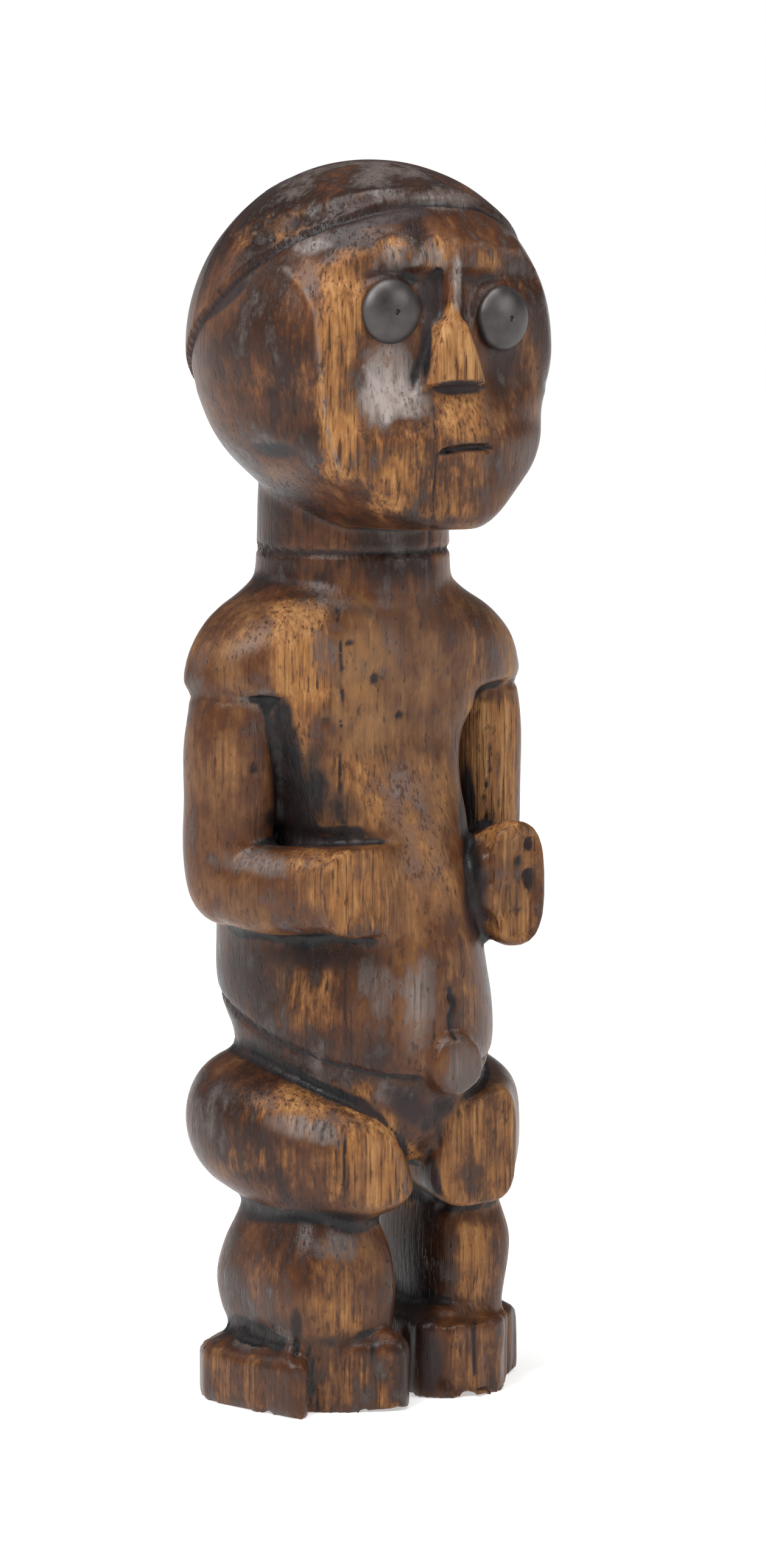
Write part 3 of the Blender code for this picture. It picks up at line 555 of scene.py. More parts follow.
def stretch(points):
    """Points with the other axes multiplied by each zoom's factor and its own axis by the summed one."""
    x, y, z = points.T
    station, factor, run = zoom_curve(HEAD_ZOOM)
    zoom = np.interp(z, station, factor)
    x, y, z = x * zoom, y * zoom, np.interp(z, station, run) - MIDDLE_HEIGHT
    station, factor, run = zoom_curve(FRONT_ZOOM)
    zoom = np.interp(y, station, factor)
    return np.column_stack([x * zoom, np.interp(y, station, run), z * zoom])


def let_back(points):
    """The reverse of stretch, its two zooms undone in turn."""
    x, y, z = points.T
    station, factor, run = zoom_curve(FRONT_ZOOM)
    y = np.interp(y, run, station)
    zoom = np.interp(y, station, factor)
    x, z = x / zoom, z / zoom + MIDDLE_HEIGHT
    station, factor, run = zoom_curve(HEAD_ZOOM)
    z = np.interp(z, run, station)
    zoom = np.interp(z, station, factor)
    return np.column_stack([x / zoom, y / zoom, z])


def ring_quads(grid):
    """Faces of a closed grid: each ring's points are joined to the next ring's and round the turn."""
    index = np.arange(grid.shape[0] * grid.shape[1]).reshape(grid.shape[:2])
    beside = np.roll(index, -1, axis=1)
    return np.stack([index[:-1], beside[:-1], beside[1:], index[1:]], axis=-1).reshape(-1, 4)


def joined(grids):
    """One mesh of closed grids, in stretched space."""
    starts = np.cumsum([0] + [grid.shape[0] * grid.shape[1] for grid in grids])
    faces = [ring_quads(grid) + start for grid, start in zip(grids, starts)]
    points = np.concatenate([grid.reshape(-1, 3) for grid in grids])
    mesh = bpy.data.meshes.new("masses")
    mesh.from_pydata(stretch(points), [], np.concatenate(faces))
    return mesh


masses_object = in_scene("masses", joined(masses))
fuse = masses_object.modifiers.new("fuse", "REMESH")
fuse.mode = "VOXEL"
fuse.voxel_size = LATTICE
depsgraph = bpy.context.evaluated_depsgraph_get()
skin = bpy.data.meshes.new_from_object(masses_object.evaluated_get(depsgraph))
bpy.data.objects.remove(masses_object)
skin.name = "carved_figure"


def read(items, name, width, kind=np.float32):
    """An array of one property of a mesh's items."""
    values = np.empty(len(items) * width, kind)
    items.foreach_get(name, values)
    return values.reshape(-1, width)


points = let_back(read(skin.vertices, "co", 3).astype(float))
edges = read(skin.edges, "vertices", 2, np.int32)
neighbours = np.bincount(edges.ravel(), minlength=len(points))


def spread_out(values):
    """Each point's value, the mean of its neighbours' values along the skin's edges."""
    total = np.zeros_like(values)
    for k in range(values.shape[1]):
        for a, b in ((0, 1), (1, 0)):
            total[:, k] += np.bincount(edges[:, a], values[edges[:, b], k], len(values))
    return total / neighbours[:, None]


def evened(values, passes):
    """Values spread out over the skin a number of times."""
    for _ in range(passes):
        values = spread_out(values)
    return values


def skin_normals():
    """The skin's normals where its points now are, in the carving's axes."""
    skin.vertices.foreach_set("co", to_metres(points).astype(np.float32).ravel())
    skin.update()
    return read(skin.vertex_normals, "vector", 3).astype(float)


for _ in range(SKIN_PASSES):
    points = 0.5 * points + 0.5 * spread_out(points)
normals = skin_normals()

# The cuts: a gouged line round the neck and one from the back down to the knob, the cap's edge over the
# back of the head, the mouth, and the eyes' seats. Then come the marks that the photograph shows, each
# where it lies in the photograph's frame: ridges, hollows, splits, chips and pits.
LINE_DEPTH = 1.5
NECK_LINE_HEIGHT = 308.0
NECK_LINE_WIDTH = 1.0
GROIN_LINE_HEIGHT = 137.8
GROIN_LINE_SLOPE = 0.315
GROIN_LINE_WIDTH = 1.1
CAP_DROP = 0.80
CAP_EDGE = 21.0
CAP_STEP = 1.5
CAP_EDGE_DEPTH = 0.7
CAP_EDGE_WIDTH = 1.3
HEAD_FOOT = 314.0
MOUTH_MIDDLE = 1.2
MOUTH_HEIGHT = 347.0
MOUTH_SLANT = math.radians(3)
MOUTH_HALF_WIDTH = 11.2
MOUTH_DEPTH = 3.0
DISC_RADIUS = 11.4
SEAT_FLAT = DISC_RADIUS + 0.4
SEAT_END = DISC_RADIUS + 1.9
SEAT_CLEARANCE = 0.05
SOLE_FLAT = 0.5
HAND_PASSES = 60
CLOUD_CELLS = 32
CLOUD_SHIFT = 9.3

x, y, z = points.T
from_axis = np.hypot(x, y)
px, py = in_photograph(points)
seen = smooth_step(0.02, 0.3, normals @ view_back)
lattice = np.random.default_rng(7).random((4, CLOUD_CELLS, CLOUD_CELLS, CLOUD_CELLS))


def cloud(scale, layer=0, stretched=(1, 1, 1)):
    """Smooth noise over the skin: random values on a lattice, blended by cubic steps between them."""
    place = points * np.array(stretched) / scale + CLOUD_SHIFT
    cell = np.floor(place).astype(int)
    share = place - cell
    share = share * share * (3 - 2 * share)
    total = 0
    for corner in np.ndindex(2, 2, 2):
        index = (cell + corner) % CLOUD_CELLS
        weight = np.prod(np.where(corner, share, 1 - share), axis=1)
        total = total + lattice[layer, index[:, 0], index[:, 1], index[:, 2]] * weight
    return total


def spot(across, down, wide, high, tilt=0, power=3):
    """A spot in the photograph: e to minus the distance in half sizes, to a power, seen side only."""
    c, s = math.cos(math.radians(tilt)), math.sin(math.radians(tilt))
    u = ((px - across) * c + (py - down) * s) / wide
    v = ((py - down) * c - (px - across) * s) / high
    return np.exp(-(np.hypot(u, v) ** power)) * seen


def to_line(places):
    """Pixels from each point to a bent line in the photograph, and on which side of it the point lies."""
    best = np.full(len(px), 1e9)
    sign = np.zeros(len(px))
    for (ax, ay), (bx, by) in zip(places[:-1], places[1:]):
        dx, dy = bx - ax, by - ay
        share = np.clip(((px - ax) * dx + (py - ay) * dy) / (dx * dx + dy * dy), 0, 1)
        away = np.hypot(px - ax - share * dx, py - ay - share * dy)
        side_of = np.sign((px - ax) * dy - (py - ay) * dx)
        sign = np.where(away < best, side_of, sign)
        best = np.minimum(best, away)
    return best, sign


def score(places, width):
    """A scored line: e to minus the squared distance in widths, on the seen side."""
    return np.exp(-((to_line(places)[0] / width) ** 2)) * seen


def within(left, right, top, bottom, soft=12.0):
    """A soft-edged box in the photograph: the product of four steps, on the seen side."""
    across = smooth_step(left - soft, left + soft, px) * smooth_step(right + soft, right - soft, px)
    down = smooth_step(top - soft, top + soft, py) * smooth_step(bottom + soft, bottom - soft, py)
    return across * down * seen


head = smooth_step(36, 38, from_axis) * (z > HEAD_FOOT)
head = np.maximum(head, smooth_step(340, 346, z))
lift = np.zeros(len(points))

neck_line = np.exp(-(((z - NECK_LINE_HEIGHT) / NECK_LINE_WIDTH) ** 2)) * falling(50, 60, from_axis)
groin_away = (z - GROIN_LINE_HEIGHT - GROIN_LINE_SLOPE * y) / math.hypot(1, GROIN_LINE_SLOPE)
groin_line = np.exp(-((groin_away / GROIN_LINE_WIDTH) ** 2)) * falling(62, 66, from_axis)
beside_knob = smooth_step(KNOB_RADIUS, KNOB_RADIUS + 2, np.abs(x - KNOB_OUT))
groin_line = groin_line * np.where(y < -40, beside_knob, 1)
lift -= LINE_DEPTH * (neck_line + groin_line)

cap_away = z - HEAD_CENTRE[2] - CAP_EDGE + CAP_DROP * (y - HEAD_CENTRE[1])
cap_away = cap_away / math.hypot(1, CAP_DROP)
cap = smooth_step(-0.7, 0.7, cap_away) * head
cap_edge = np.exp(-(((cap_away + 1.0) / CAP_EDGE_WIDTH) ** 2)) * head
lift += CAP_STEP * cap - CAP_EDGE_DEPTH * cap_edge

# The uneven surface that the tools left, and the broad grain that the worn faces stand out in
broad_grain = cloud(7.0, 2, (1, 1, 0.05))
lift += 0.5 * (cloud(15.0, 0) - 0.5) + 0.35 * (cloud(30.0, 3) - 0.5)

# Marks of the head
rim = [(500, 352), (521, 341), (609, 324), (702, 316), (757, 324), (807, 362), (845, 400), (872, 446)]
rim_away, rim_side = to_line(rim)
under_rim = np.exp(-(((rim_away - 16) / 16) ** 2)) * (rim_side < 0) * seen
over_rim = np.exp(-((rim_away / 9) ** 2)) * seen
forehead = within(560, 860, 335, 384, 12)
eroded = spot(470, 372, 92, 26, -16, 4)
temple = spot(508, 402, 40, 26, -14, 4)
facets = spot(648, 412, 25, 32, 0, 4) + spot(717, 420, 22, 36, 0, 4)
facets = facets + 0.8 * spot(803, 424, 40, 20, 4, 4)
facet_rims = [
    [(615, 440), (620, 396), (648, 380), (676, 396), (681, 432)],
    [(692, 430), (700, 400), (717, 382), (736, 402), (744, 430)],
    [(758, 404), (800, 402), (848, 416)],
]
facet_rim = sum(score(places, 8) for places in facet_rims) * head
bridge = score([(750, 398), (748, 450), (747, 512)], 9) * head
face_edge = [(471, 443), (500, 476), (520, 518), (526, 598), (534, 690), (547, 740), (560, 775)]
face_ridge = score(face_edge, 7) * head
face_field = within(520, 900, 440, 790, 8) * head
hollow_cheek = spot(636, 628, 56, 72, -14)
cheek_creases = [
    [(637, 560), (640, 610), (636, 690)],
    [(596, 600), (622, 640), (632, 690)],
    [(690, 640), (655, 665), (636, 690)],
]
cheek_crease = sum(score(places, 4) for places in cheek_creases)
jaw_chip = spot(455, 743, 46, 18, 10)
chin = within(712, 800, 745, 850, 4) * head
lift += 0.8 * over_rim - 0.9 * under_rim - 0.8 * forehead - 0.9 * facets * head + 0.6 * facet_rim
lift += 0.9 * bridge + 0.7 * face_ridge - 0.6 * hollow_cheek - 1.0 * jaw_chip + 0.25 * cheek_crease
lift -= eroded * (0.3 + 1.7 * smooth_step(0.45, 0.75, cloud(2.2, 2)))
lift -= 0.8 * temple * smooth_step(0.4, 0.7, cloud(3.4, 3))
lift -= face_field * 0.5 * smooth_step(0.5, 0.8, broad_grain)
lift += 0.4 * chin

mouth_share = np.clip(np.abs(x - MOUTH_MIDDLE) / (MOUTH_HALF_WIDTH + 1.0), 0, 1)
mouth_open = 0.25 + 1.05 * np.sqrt(1 - mouth_share**2) + 0.7 * (cloud(3.0, 1) - 0.5)
slant = z - MOUTH_HEIGHT - (x - MOUTH_MIDDLE) * math.sin(MOUTH_SLANT) + 0.9 * mouth_share**2
mouth = np.exp(-((slant / mouth_open) ** 4)) * falling(0.9, 1.0, mouth_share) * (y < -50)
lift -= MOUTH_DEPTH * mouth
nose = falling(13, 14.5, np.abs(x)) * smooth_step(366, 369, z) * falling(395, 400, z) * (y < -62)
nose_split = score([(757, 534), (755, 580), (756, 628)], 3.2)
lift -= 0.7 * nose_split * nose

# Marks of the trunk and arms
splits = [
    # depth, width, places along it
    (1.8, 2.6, [(553, 1000), (562, 1110), (560, 1250), (566, 1385)]),
    (0.6, 2.2, [(636, 1230), (640, 1372)]),
    (1.2, 3.0, [(566, 1545), (564, 1640), (566, 1715)]),
    (0.9, 2.6, [(640, 1560), (643, 1640), (641, 1700)]),
    (1.0, 2.6, [(716, 1545), (713, 1650), (716, 1740)]),
    (2.0, 4.4, [(738, 1622), (745, 1650), (739, 1674), (748, 1704)]),
    (1.4, 3.0, [(712, 661), (714, 760), (710, 871), (706, 930), (704, 985)]),
    (1.6, 3.4, [(566, 1872), (563, 1920), (567, 1972)]),
    (1.6, 3.6, [(506, 2212), (512, 2260), (524, 2318)]),
    (1.8, 3.8, [(612, 2200), (606, 2250), (612, 2300)]),
    (2.0, 4.2, [(782, 2160), (780, 2210), (790, 2262)]),
    (1.4, 3.0, [(800, 1195), (806, 1250), (797, 1310), (803, 1352)]),
    (1.0, 2.6, [(818, 1225), (822, 1290), (818, 1345)]),
]
split_mark = np.zeros(len(points))
for depth, width, places in splits:
    line = score([(a + 3 * math.sin(k * 2.1), b) for k, (a, b) in enumerate(places)], width)
    lift -= 0.45 * depth * line
    split_mark = np.maximum(split_mark, line * min(1.0, 0.3 + 0.35 * depth))
pits = [
    # across, down, half size
    (617, 1115, 9),
    (657, 1175, 8),
    (420, 1264, 9),
    (537, 1185, 8),
    (700, 1850, 9),
    (722, 1815, 8),
    (575, 1055, 6),
    (741, 1640, 7),
]
pit_mark = np.zeros(len(points))
for across, down, size in pits:
    one = spot(across, down, size, size * 1.2)
    lift -= 1.4 * one
    pit_mark = np.maximum(pit_mark, one)
hand_top = score([(462, 1362), (520, 1378), (585, 1388), (650, 1380)], 9)
hand_edge = score([(543, 1392), (546, 1450), (543, 1535)], 5)
forearm_ridge = score([(350, 1395), (440, 1400), (540, 1440), (552, 1500)], 14)
lift += 0.4 * forearm_ridge - 0.8 * hand_top - 0.5 * hand_edge
fist_face = within(800, 885, 1375, 1540, 6) * (z < 240) * (z > 150)
lift -= fist_face * (0.7 + 1.6 * smooth_step(0.45, 0.8, broad_grain))
chips = within(792, 892, 1340, 1560, 6) * (z > 150) * (z < 240)
lift -= 1.3 * chips * smooth_step(0.56, 0.76, cloud(6.0, 3))
shoulder_line = np.exp(-(((z - SHOULDER_EDGE + 1.2) / 1.3) ** 2)) * smooth_step(40, 46, np.abs(x))
lift -= 0.7 * shoulder_line

# Marks of the legs and feet
knee_face = within(716, 856, 1815, 1990, 6)
thigh_face = within(566, 690, 1790, 1985, 10) * (x < 0)
lift -= knee_face * 1.7 * smooth_step(0.42, 0.8, broad_grain)
lift -= thigh_face * 0.6 * smooth_step(0.5, 0.8, broad_grain)
calf_corner = score([(486, 2010), (480, 2090), (488, 2200)], 8)
lift += 0.5 * calf_corner
toe_gap = score([(484, 2205), (487, 2330)], 5)
lift -= 1.4 * toe_gap
foot_grain = falling(22, 27, z) * (y < -15)
lift -= foot_grain * 1.3 * smooth_step(0.45, 0.8, broad_grain)
left_toes = within(716, 850, 2150, 2330, 8)
lift -= left_toes * 2.2 * smooth_step(0.45, 0.72, cloud(9.0, 1, (1, 1, 0.6)))

points += normals * lift[:, None]
for side, height in EYE_HEIGHTS.items():
    away = np.hypot(points[:, 0] - side * EYE_SPREAD, points[:, 2] - height)
    seat = seat_plane(side, points[:, 0]) - SEAT_CLEARANCE
    share = falling(SEAT_FLAT, SEAT_END, away) * (points[:, 1] < -30)
    points[:, 1] += (np.maximum(points[:, 1], seat) - points[:, 1]) * share
points[:, 2] = np.where(points[:, 2] < SOLE_FLAT, 0, points[:, 2])

# The hand was worn down until its inner end ran into the belly: the skin is eased there
hand_end = spot(672, 1462, 46, 96)
points += (evened(points, HAND_PASSES) - points) * np.clip(1.2 * hand_end, 0, 1)[:, None]

# What the years did to it, and the light painted on it, kept on the skin for the finish: where it is worn
# to bare wood, where soot lies and shade is painted dark, where handling left a polish with a painted grey
# sheen, and how the ground colour varies.
HOLLOW_PASSES = 24
BARE_SOFTNESS = 18
TONE_SOFTNESS = 30


def drawn_to(amount, boxes, softness, clouding=0):
    """An amount drawn towards each box's share, and the clouding on it, inside the box."""
    for left, right, top, bottom, share in boxes:
        amount = amount + (share + clouding - amount) * within(left, right, top, bottom, softness)
    return amount


def raised_to(amount, spots):
    """An amount raised by spots: the greater of what is there and each spot's share."""
    for across, down, wide, high, tilt, share in spots:
        amount = np.maximum(amount, share * spot(across, down, wide, high, tilt))
    return amount


normals = skin_normals()
# How hollow or ridged the skin is at each point; the creases are darkened below as painted shade.
hollow = np.einsum("ij,ij->i", evened(points, HOLLOW_PASSES) - points, normals)
crease = smooth_step(0.25, 1.6, hollow)
ridge = smooth_step(0.25, 1.3, -hollow)

spread = cloud(26.0, 1)
bare = 0.08 + 0.26 * (spread - 0.5) + 0.20 * ridge
bare_places = [
    # left, right, top, bottom, how bare
    (520, 600, 430, 790, 0.74),
    (600, 720, 655, 850, 0.62),
    (640, 800, 630, 730, 0.58),
    (712, 800, 745, 850, 0.52),
    (800, 890, 440, 780, 0.34),
    (540, 620, 400, 450, 0.55),
    (380, 512, 470, 660, 0.33),
    (440, 730, 880, 985, 0.08),
    (448, 540, 985, 1160, 0.92),
    (466, 520, 1150, 1290, 0.72),
    (505, 640, 1240, 1368, 0.56),
    (770, 850, 1010, 1140, 0.44),
    (640, 745, 1200, 1480, 0.40),
    (345, 430, 1060, 1130, 0.16),
    (345, 440, 1180, 1380, 0.26),
    (480, 541, 1395, 1500, 0.46),
    (545, 641, 1395, 1535, 0.74),
    (770, 850, 1150, 1390, 0.95),
    (806, 890, 1350, 1550, 0.56),
    (440, 560, 1585, 1700, 0.50),
    (716, 800, 1480, 1700, 0.36),
    (400, 560, 1780, 1860, 0.46),
    (375, 485, 1880, 1925, 0.50),
    (548, 604, 1840, 1965, 0.66),
    (604, 690, 1830, 1985, 0.88),
    (470, 610, 1770, 1835, 0.66),
    (716, 856, 1800, 1990, 0.58),
    (510, 600, 2030, 2200, 0.52),
    (745, 815, 2010, 2140, 0.66),
    (385, 470, 2050, 2150, 0.36),
    (330, 484, 2236, 2330, 0.40),
    (500, 681, 2220, 2320, 0.50),
    (732, 830, 2180, 2295, 0.42),
    (808, 852, 2156, 2255, 0.36),
    (655, 728, 1990, 2300, 0.05),
    (648, 716, 1776, 1880, 0.02),
]
bare = drawn_to(bare, bare_places, BARE_SOFTNESS)
bare += 0.55 * facets * head + 0.55 * nose * seen
bare += 0.42 * eroded * head - 0.5 * forehead - 0.3 * temple - 0.55 * hollow_cheek
knob_end = falling(10.5, 12.5, np.hypot(x - KNOB_OUT, z - KNOB_HEIGHT)) * (y < -56)
bare = np.clip(bare + 0.2 * face_ridge - knob_end, 0, 1)

# How light the patina is: dark on the cap, darkened between the legs and in the groin as painted shade,
# lighter on the arms and chest
patches = 0.30 * (cloud(34.0, 2) - 0.5)
tone = np.where(z > HEAD_FOOT, 0.40, 0.52) - 0.20 * cap + patches + 0.10 * ridge
tone_places = [
    # left, right, top, bottom, how light
    (300, 515, 440, 800, 0.33),
    (330, 700, 270, 420, 0.14),
    (800, 900, 440, 800, 0.33),
    (410, 735, 790, 985, 0.26),
    (290, 470, 1000, 1140, 0.60),
    (530, 760, 960, 1240, 0.60),
    (540, 760, 1240, 1560, 0.60),
    (300, 450, 1140, 1400, 0.60),
    (290, 560, 1400, 1570, 0.64),
    (620, 750, 1560, 1800, 0.62),
    (340, 450, 1560, 1700, 0.29),
    (450, 620, 1580, 1720, 0.46),
    (390, 640, 1690, 1800, 0.34),
    (300, 560, 1760, 1990, 0.41),
    (350, 480, 2000, 2210, 0.42),
    (480, 650, 2000, 2210, 0.44),
    (730, 840, 2000, 2160, 0.46),
    (310, 480, 2170, 2240, 0.34),
    (310, 484, 2230, 2330, 0.46),
    (484, 690, 2200, 2330, 0.38),
    (725, 860, 2140, 2310, 0.32),
    # These last two rows are painted shade: the gap between the legs and the groin made darker.
    (655, 728, 1990, 2300, 0.16),
    (648, 716, 1776, 1880, 0.16),
]
tone = drawn_to(tone, tone_places, TONE_SOFTNESS, patches)
tone = np.clip(tone - 0.12 * knob_end, 0, 1)

# Soot and painted shade: black soot and shade in the arm recesses, and shade painted dark in the sockets,
# beside and under the nose, under the rim, on the far cheek, below the neck, under the hand, at the left
# fist's inner side, in the groin, between the legs and under the knees.
soot_and_shade_places = [
    # across, down, half width, half height, tilt, how black
    (640, 452, 60, 16, 0, 0.55),
    (706, 484, 24, 44, 0, 0.75),
    (700, 570, 9, 62, 2, 1.0),
    (792, 462, 40, 16, 0, 0.5),
    (750, 636, 52, 12, -2, 0.9),
    (824, 585, 36, 100, 4, 0.5),
    (812, 640, 24, 50, 0, 0.34),
    (640, 352, 90, 16, -6, 0.7),
    (372, 492, 60, 9, -42, 0.8),
    (480, 368, 90, 22, -16, 0.4),
    (474, 1276, 28, 104, -2, 1.0),
    (480, 1350, 50, 24, 8, 0.95),
    (464, 1180, 20, 38, 0, 0.85),
    (490, 1090, 34, 80, 0, 0.22),
    (514, 1245, 22, 40, 0, 0.55),
    (512, 1300, 40, 72, 0, 0.64),
    (556, 1330, 60, 44, 0, 0.46),
    (560, 1366, 60, 9, 2, 0.8),
    (768, 1330, 14, 70, 0, 1.0),
    (780, 1460, 22, 96, 0, 0.75),
    (700, 1320, 22, 60, 0, 0.30),
    (520, 1566, 120, 34, 0, 0.52),
    (610, 1580, 44, 24, 0, 0.4),
    (846, 1450, 42, 92, 0, 0.30),
    (806, 1290, 26, 90, 0, 0.24),
    (786, 1900, 56, 80, 0, 0.16),
    (744, 1664, 12, 40, 6, 0.5),
    (664, 1812, 56, 26, 42, 0.6),
    (722, 1826, 46, 24, -42, 0.6),
    (706, 1960, 22, 90, 0, 0.6),
    (684, 2140, 30, 170, 0, 0.42),
    (500, 2000, 130, 16, 2, 0.8),
    (486, 2180, 14, 40, 0, 0.6),
    (560, 2205, 90, 14, 0, 0.5),
    (706, 2240, 24, 60, 0, 0.6),
    (450, 740, 46, 16, 10, 0.7),
    (560, 1000, 100, 16, 6, 0.36),
]
# Every crease is darkened too, as painted shade, and so are the cut lines, mouth, splits and pits, where
# soot lies as well as shade.
soot_and_shade = raised_to(0.9 * crease, soot_and_shade_places)
for mark in (mouth, 0.8 * neck_line, 0.9 * groin_line, 0.7 * cap_edge, 0.85 * split_mark, 0.7 * pit_mark):
    soot_and_shade = np.maximum(soot_and_shade, mark)
soot_and_shade = np.clip(soot_and_shade, 0, 1)

# Polish with a painted grey sheen: the polish makes the wood glossier, and its grey colour is a painted
# reflection, on the temple, cheek, nose bridge and brow, across the cap and rim, and on the shoulders,
# arms, belly, thighs, knob and feet.
polish_and_sheen_places = [
    # across, down, half width, half height, tilt, how strong
    (508, 402, 40, 26, -14, 0.8),
    (640, 610, 46, 62, -10, 1.15),
    (622, 664, 40, 44, 20, 1.05),
    (672, 664, 40, 26, 0, 0.85),
    (749, 455, 9, 60, 0, 0.8),
    (648, 412, 26, 34, 0, 0.85),
    (718, 420, 22, 36, 0, 0.9),
    (800, 424, 40, 18, 4, 0.6),
    (590, 286, 200, 34, -6, 0.46),
    (560, 994, 120, 14, 0, 0.55),
    (700, 330, 140, 12, 0, 0.6),
    (610, 1640, 46, 90, 0, 0.55),
    (685, 1650, 34, 100, 0, 0.8),
    (650, 1800, 70, 40, 30, 0.5),
    (500, 1855, 74, 26, 18, 1.0),
    (560, 2050, 50, 30, 0, 0.55),
    (400, 720, 60, 60, 0, 0.4),
    (420, 1150, 44, 18, 0, 0.8),
    (430, 1420, 80, 22, 10, 0.75),
    (520, 1450, 22, 60, 0, 0.5),
    (700, 1230, 18, 300, 0, 0.22),
    (330, 1080, 20, 60, 0, 0.4),
    (430, 2205, 60, 20, -10, 0.6),
    (760, 1755, 46, 52, 0, 0.95),
    (600, 1070, 70, 60, 0, 0.6),
]
polish_and_sheen = raised_to(0.20 * falling(0.25, 0.75, spread), polish_and_sheen_places)
# Painted highlights along the face's edge, the facets' rims and the cheek's creases, and on the knob's end.
for mark in (0.7 * face_ridge, 0.5 * facet_rim, 0.9 * cheek_crease, 0.5 * knob_end):
    polish_and_sheen = np.maximum(polish_and_sheen, mark)
polish_and_sheen = np.clip(polish_and_sheen, 0, 1)

# How pale the painted sheen is: nearly white, as painted highlights, in the hollow of the cheek and on the
# temple and bridge
lower_cheek = hollow_cheek * smooth_step(560, 650, py)
sheen_paleness = 0.30 + 0.55 * np.clip(lower_cheek + bridge, 0, 1) + 0.2 * facet_rim + 0.3 * cheek_crease
sheen_paleness = np.clip(sheen_paleness - 0.25 * knob_end, 0, 1)
layers = {"bare": bare, "tone": tone, "soot_and_shade": soot_and_shade, "polish_and_sheen": polish_and_sheen, "sheen_paleness": sheen_paleness}
for name, values in layers.items():
    layer = skin.attributes.new(name, "FLOAT", "POINT")
    layer.data.foreach_set("value", values.astype(np.float32))

# The wood's finish: a red-brown patina that clouds from dark to light, worn in places to orange wood with
# fine dark fibres, black with soot and painted shade in the hollows, and a painted grey sheen where
# handling polished it.
PATINA = [
    (0.0, (0.009, 0.005, 0.004)),
    (0.25, (0.026, 0.0100, 0.0058)),
    (0.5, (0.074, 0.0262, 0.0098)),
    (0.75, (0.135, 0.061, 0.024)),
    (1.0, (0.215, 0.105, 0.038)),
]
BARE_WOOD = [
    (0.0, (0.050, 0.019, 0.008)),
    (0.35, (0.140, 0.055, 0.017)),
    (0.65, (0.240, 0.103, 0.030)),
    (1.0, (0.360, 0.190, 0.070)),
]
PORE_BROWN = (0.016, 0.008, 0.006)
# Black and purple-brown of soot and of painted shade.
SOOT_AND_SHADE_BLACK = (0.0065, 0.0065, 0.0075)
SOOT_AND_SHADE_PURPLE = (0.024, 0.013, 0.012)
# Greys of the painted sheen on the polished places.
SHEEN_DARK = (0.105, 0.080, 0.070)
SHEEN_PALE = (0.330, 0.285, 0.262)
WOOD_ROUGHNESS = 0.32
WOOD_SHEEN = 0.24
RELIEF_STRENGTH = 0.8
RELIEF_DEPTH = 0.0007



def new_finish(name):
    """A new material, with its surface and its Object coordinates."""
    material = bpy.data.materials.new(name)
    material.use_nodes = True
    nodes = material.node_tree.nodes
    return material, nodes["Principled BSDF"], nodes.new("ShaderNodeTexCoord").outputs["Object"]


def new_node(beside, kind):
    """A new shader node in the tree that the given output is in."""
    return beside.id_data.nodes.new(f"ShaderNode{kind}")


def plug(value, socket):
    """Joins an output to a socket, or sets the socket to a number or colour."""
    if isinstance(value, bpy.types.NodeSocket):
        socket.id_data.links.new(value, socket)
    else:
        socket.default_value = value


def grain_noise(place, scale, along, detail, roughness):
    """Noise that is `along` times as long up the grain as across it."""
    squeeze = new_node(place, "Mapping")
    squeeze.inputs["Scale"].default_value = (scale, scale, scale / along)
    plug(place, squeeze.inputs["Vector"])
    noise = new_node(place, "TexNoise")
    noise.inputs["Scale"].default_value = 1.0
    noise.inputs["Detail"].default_value = detail
    noise.inputs["Roughness"].default_value = roughness
    plug(squeeze.outputs["Vector"], noise.inputs["Vector"])
    return noise.outputs["Fac"]


def scaled(value, factor, base=0.0):
    """A value times a factor, plus a base. Each of the last two is a number or another value."""
    node = new_node(value, "Math")
    node.operation = "MULTIPLY_ADD"
    for term, socket in zip((value, factor, base), node.inputs):
        plug(term, socket)
    return node.outputs[0]


def between(value, low, high, bottom=0.0, top=1.0):
    """A smooth step of a value from low to high."""
    node = new_node(value, "MapRange")
    node.interpolation_type = "SMOOTHSTEP"
    plug(value, node.inputs["Value"])
    node.inputs["From Min"].default_value = low
    node.inputs["From Max"].default_value = high
    node.inputs["To Min"].default_value = bottom
    node.inputs["To Max"].default_value = top
    return node.outputs["Result"]


def colours(value, stops):
    """A ramp of colours over a value."""
    node = new_node(value, "ValToRGB")
    plug(value, node.inputs["Fac"])
    ramp = node.color_ramp
    while len(ramp.elements) < len(stops):
        ramp.elements.new(0.5)
    for element, (position, colour) in zip(ramp.elements, stops):
        element.position = position
        element.color = (*colour, 1)
    return node.outputs["Color"]


def blend(share, one, other):
    """One colour mixed towards another by a share."""
    node = new_node(share, "Mix")
    node.data_type = "RGBA"
    sockets = {socket.identifier: socket for socket in node.inputs}
    plug(share, sockets["Factor_Float"])
    for value, socket in ((one, sockets["A_Color"]), (other, sockets["B_Color"])):
        plug((*value, 1) if isinstance(value, tuple) else value, socket)
    return next(out for out in node.outputs if out.identifier == "Result_Color")


def stand_out(height, strength, depth, surface):
    """Gives a surface a fine relief: a height, how strongly it shows, and how deep it is in metres."""
    bump = new_node(height, "Bump")
    bump.inputs["Strength"].default_value = strength
    bump.inputs["Distance"].default_value = depth
    plug(height, bump.inputs["Height"])
    plug(bump.outputs["Normal"], surface.inputs["Normal"])


def on_skin(name):
    """A layer that is kept on the skin, as a value in the wood's tree."""
    node = new_node(wood_place, "Attribute")
    node.attribute_name = name
    return node.outputs["Fac"]


wood, wood_surface, wood_place = new_finish("worn_patinated_hardwood")
worn = {name: on_skin(name) for name in layers}

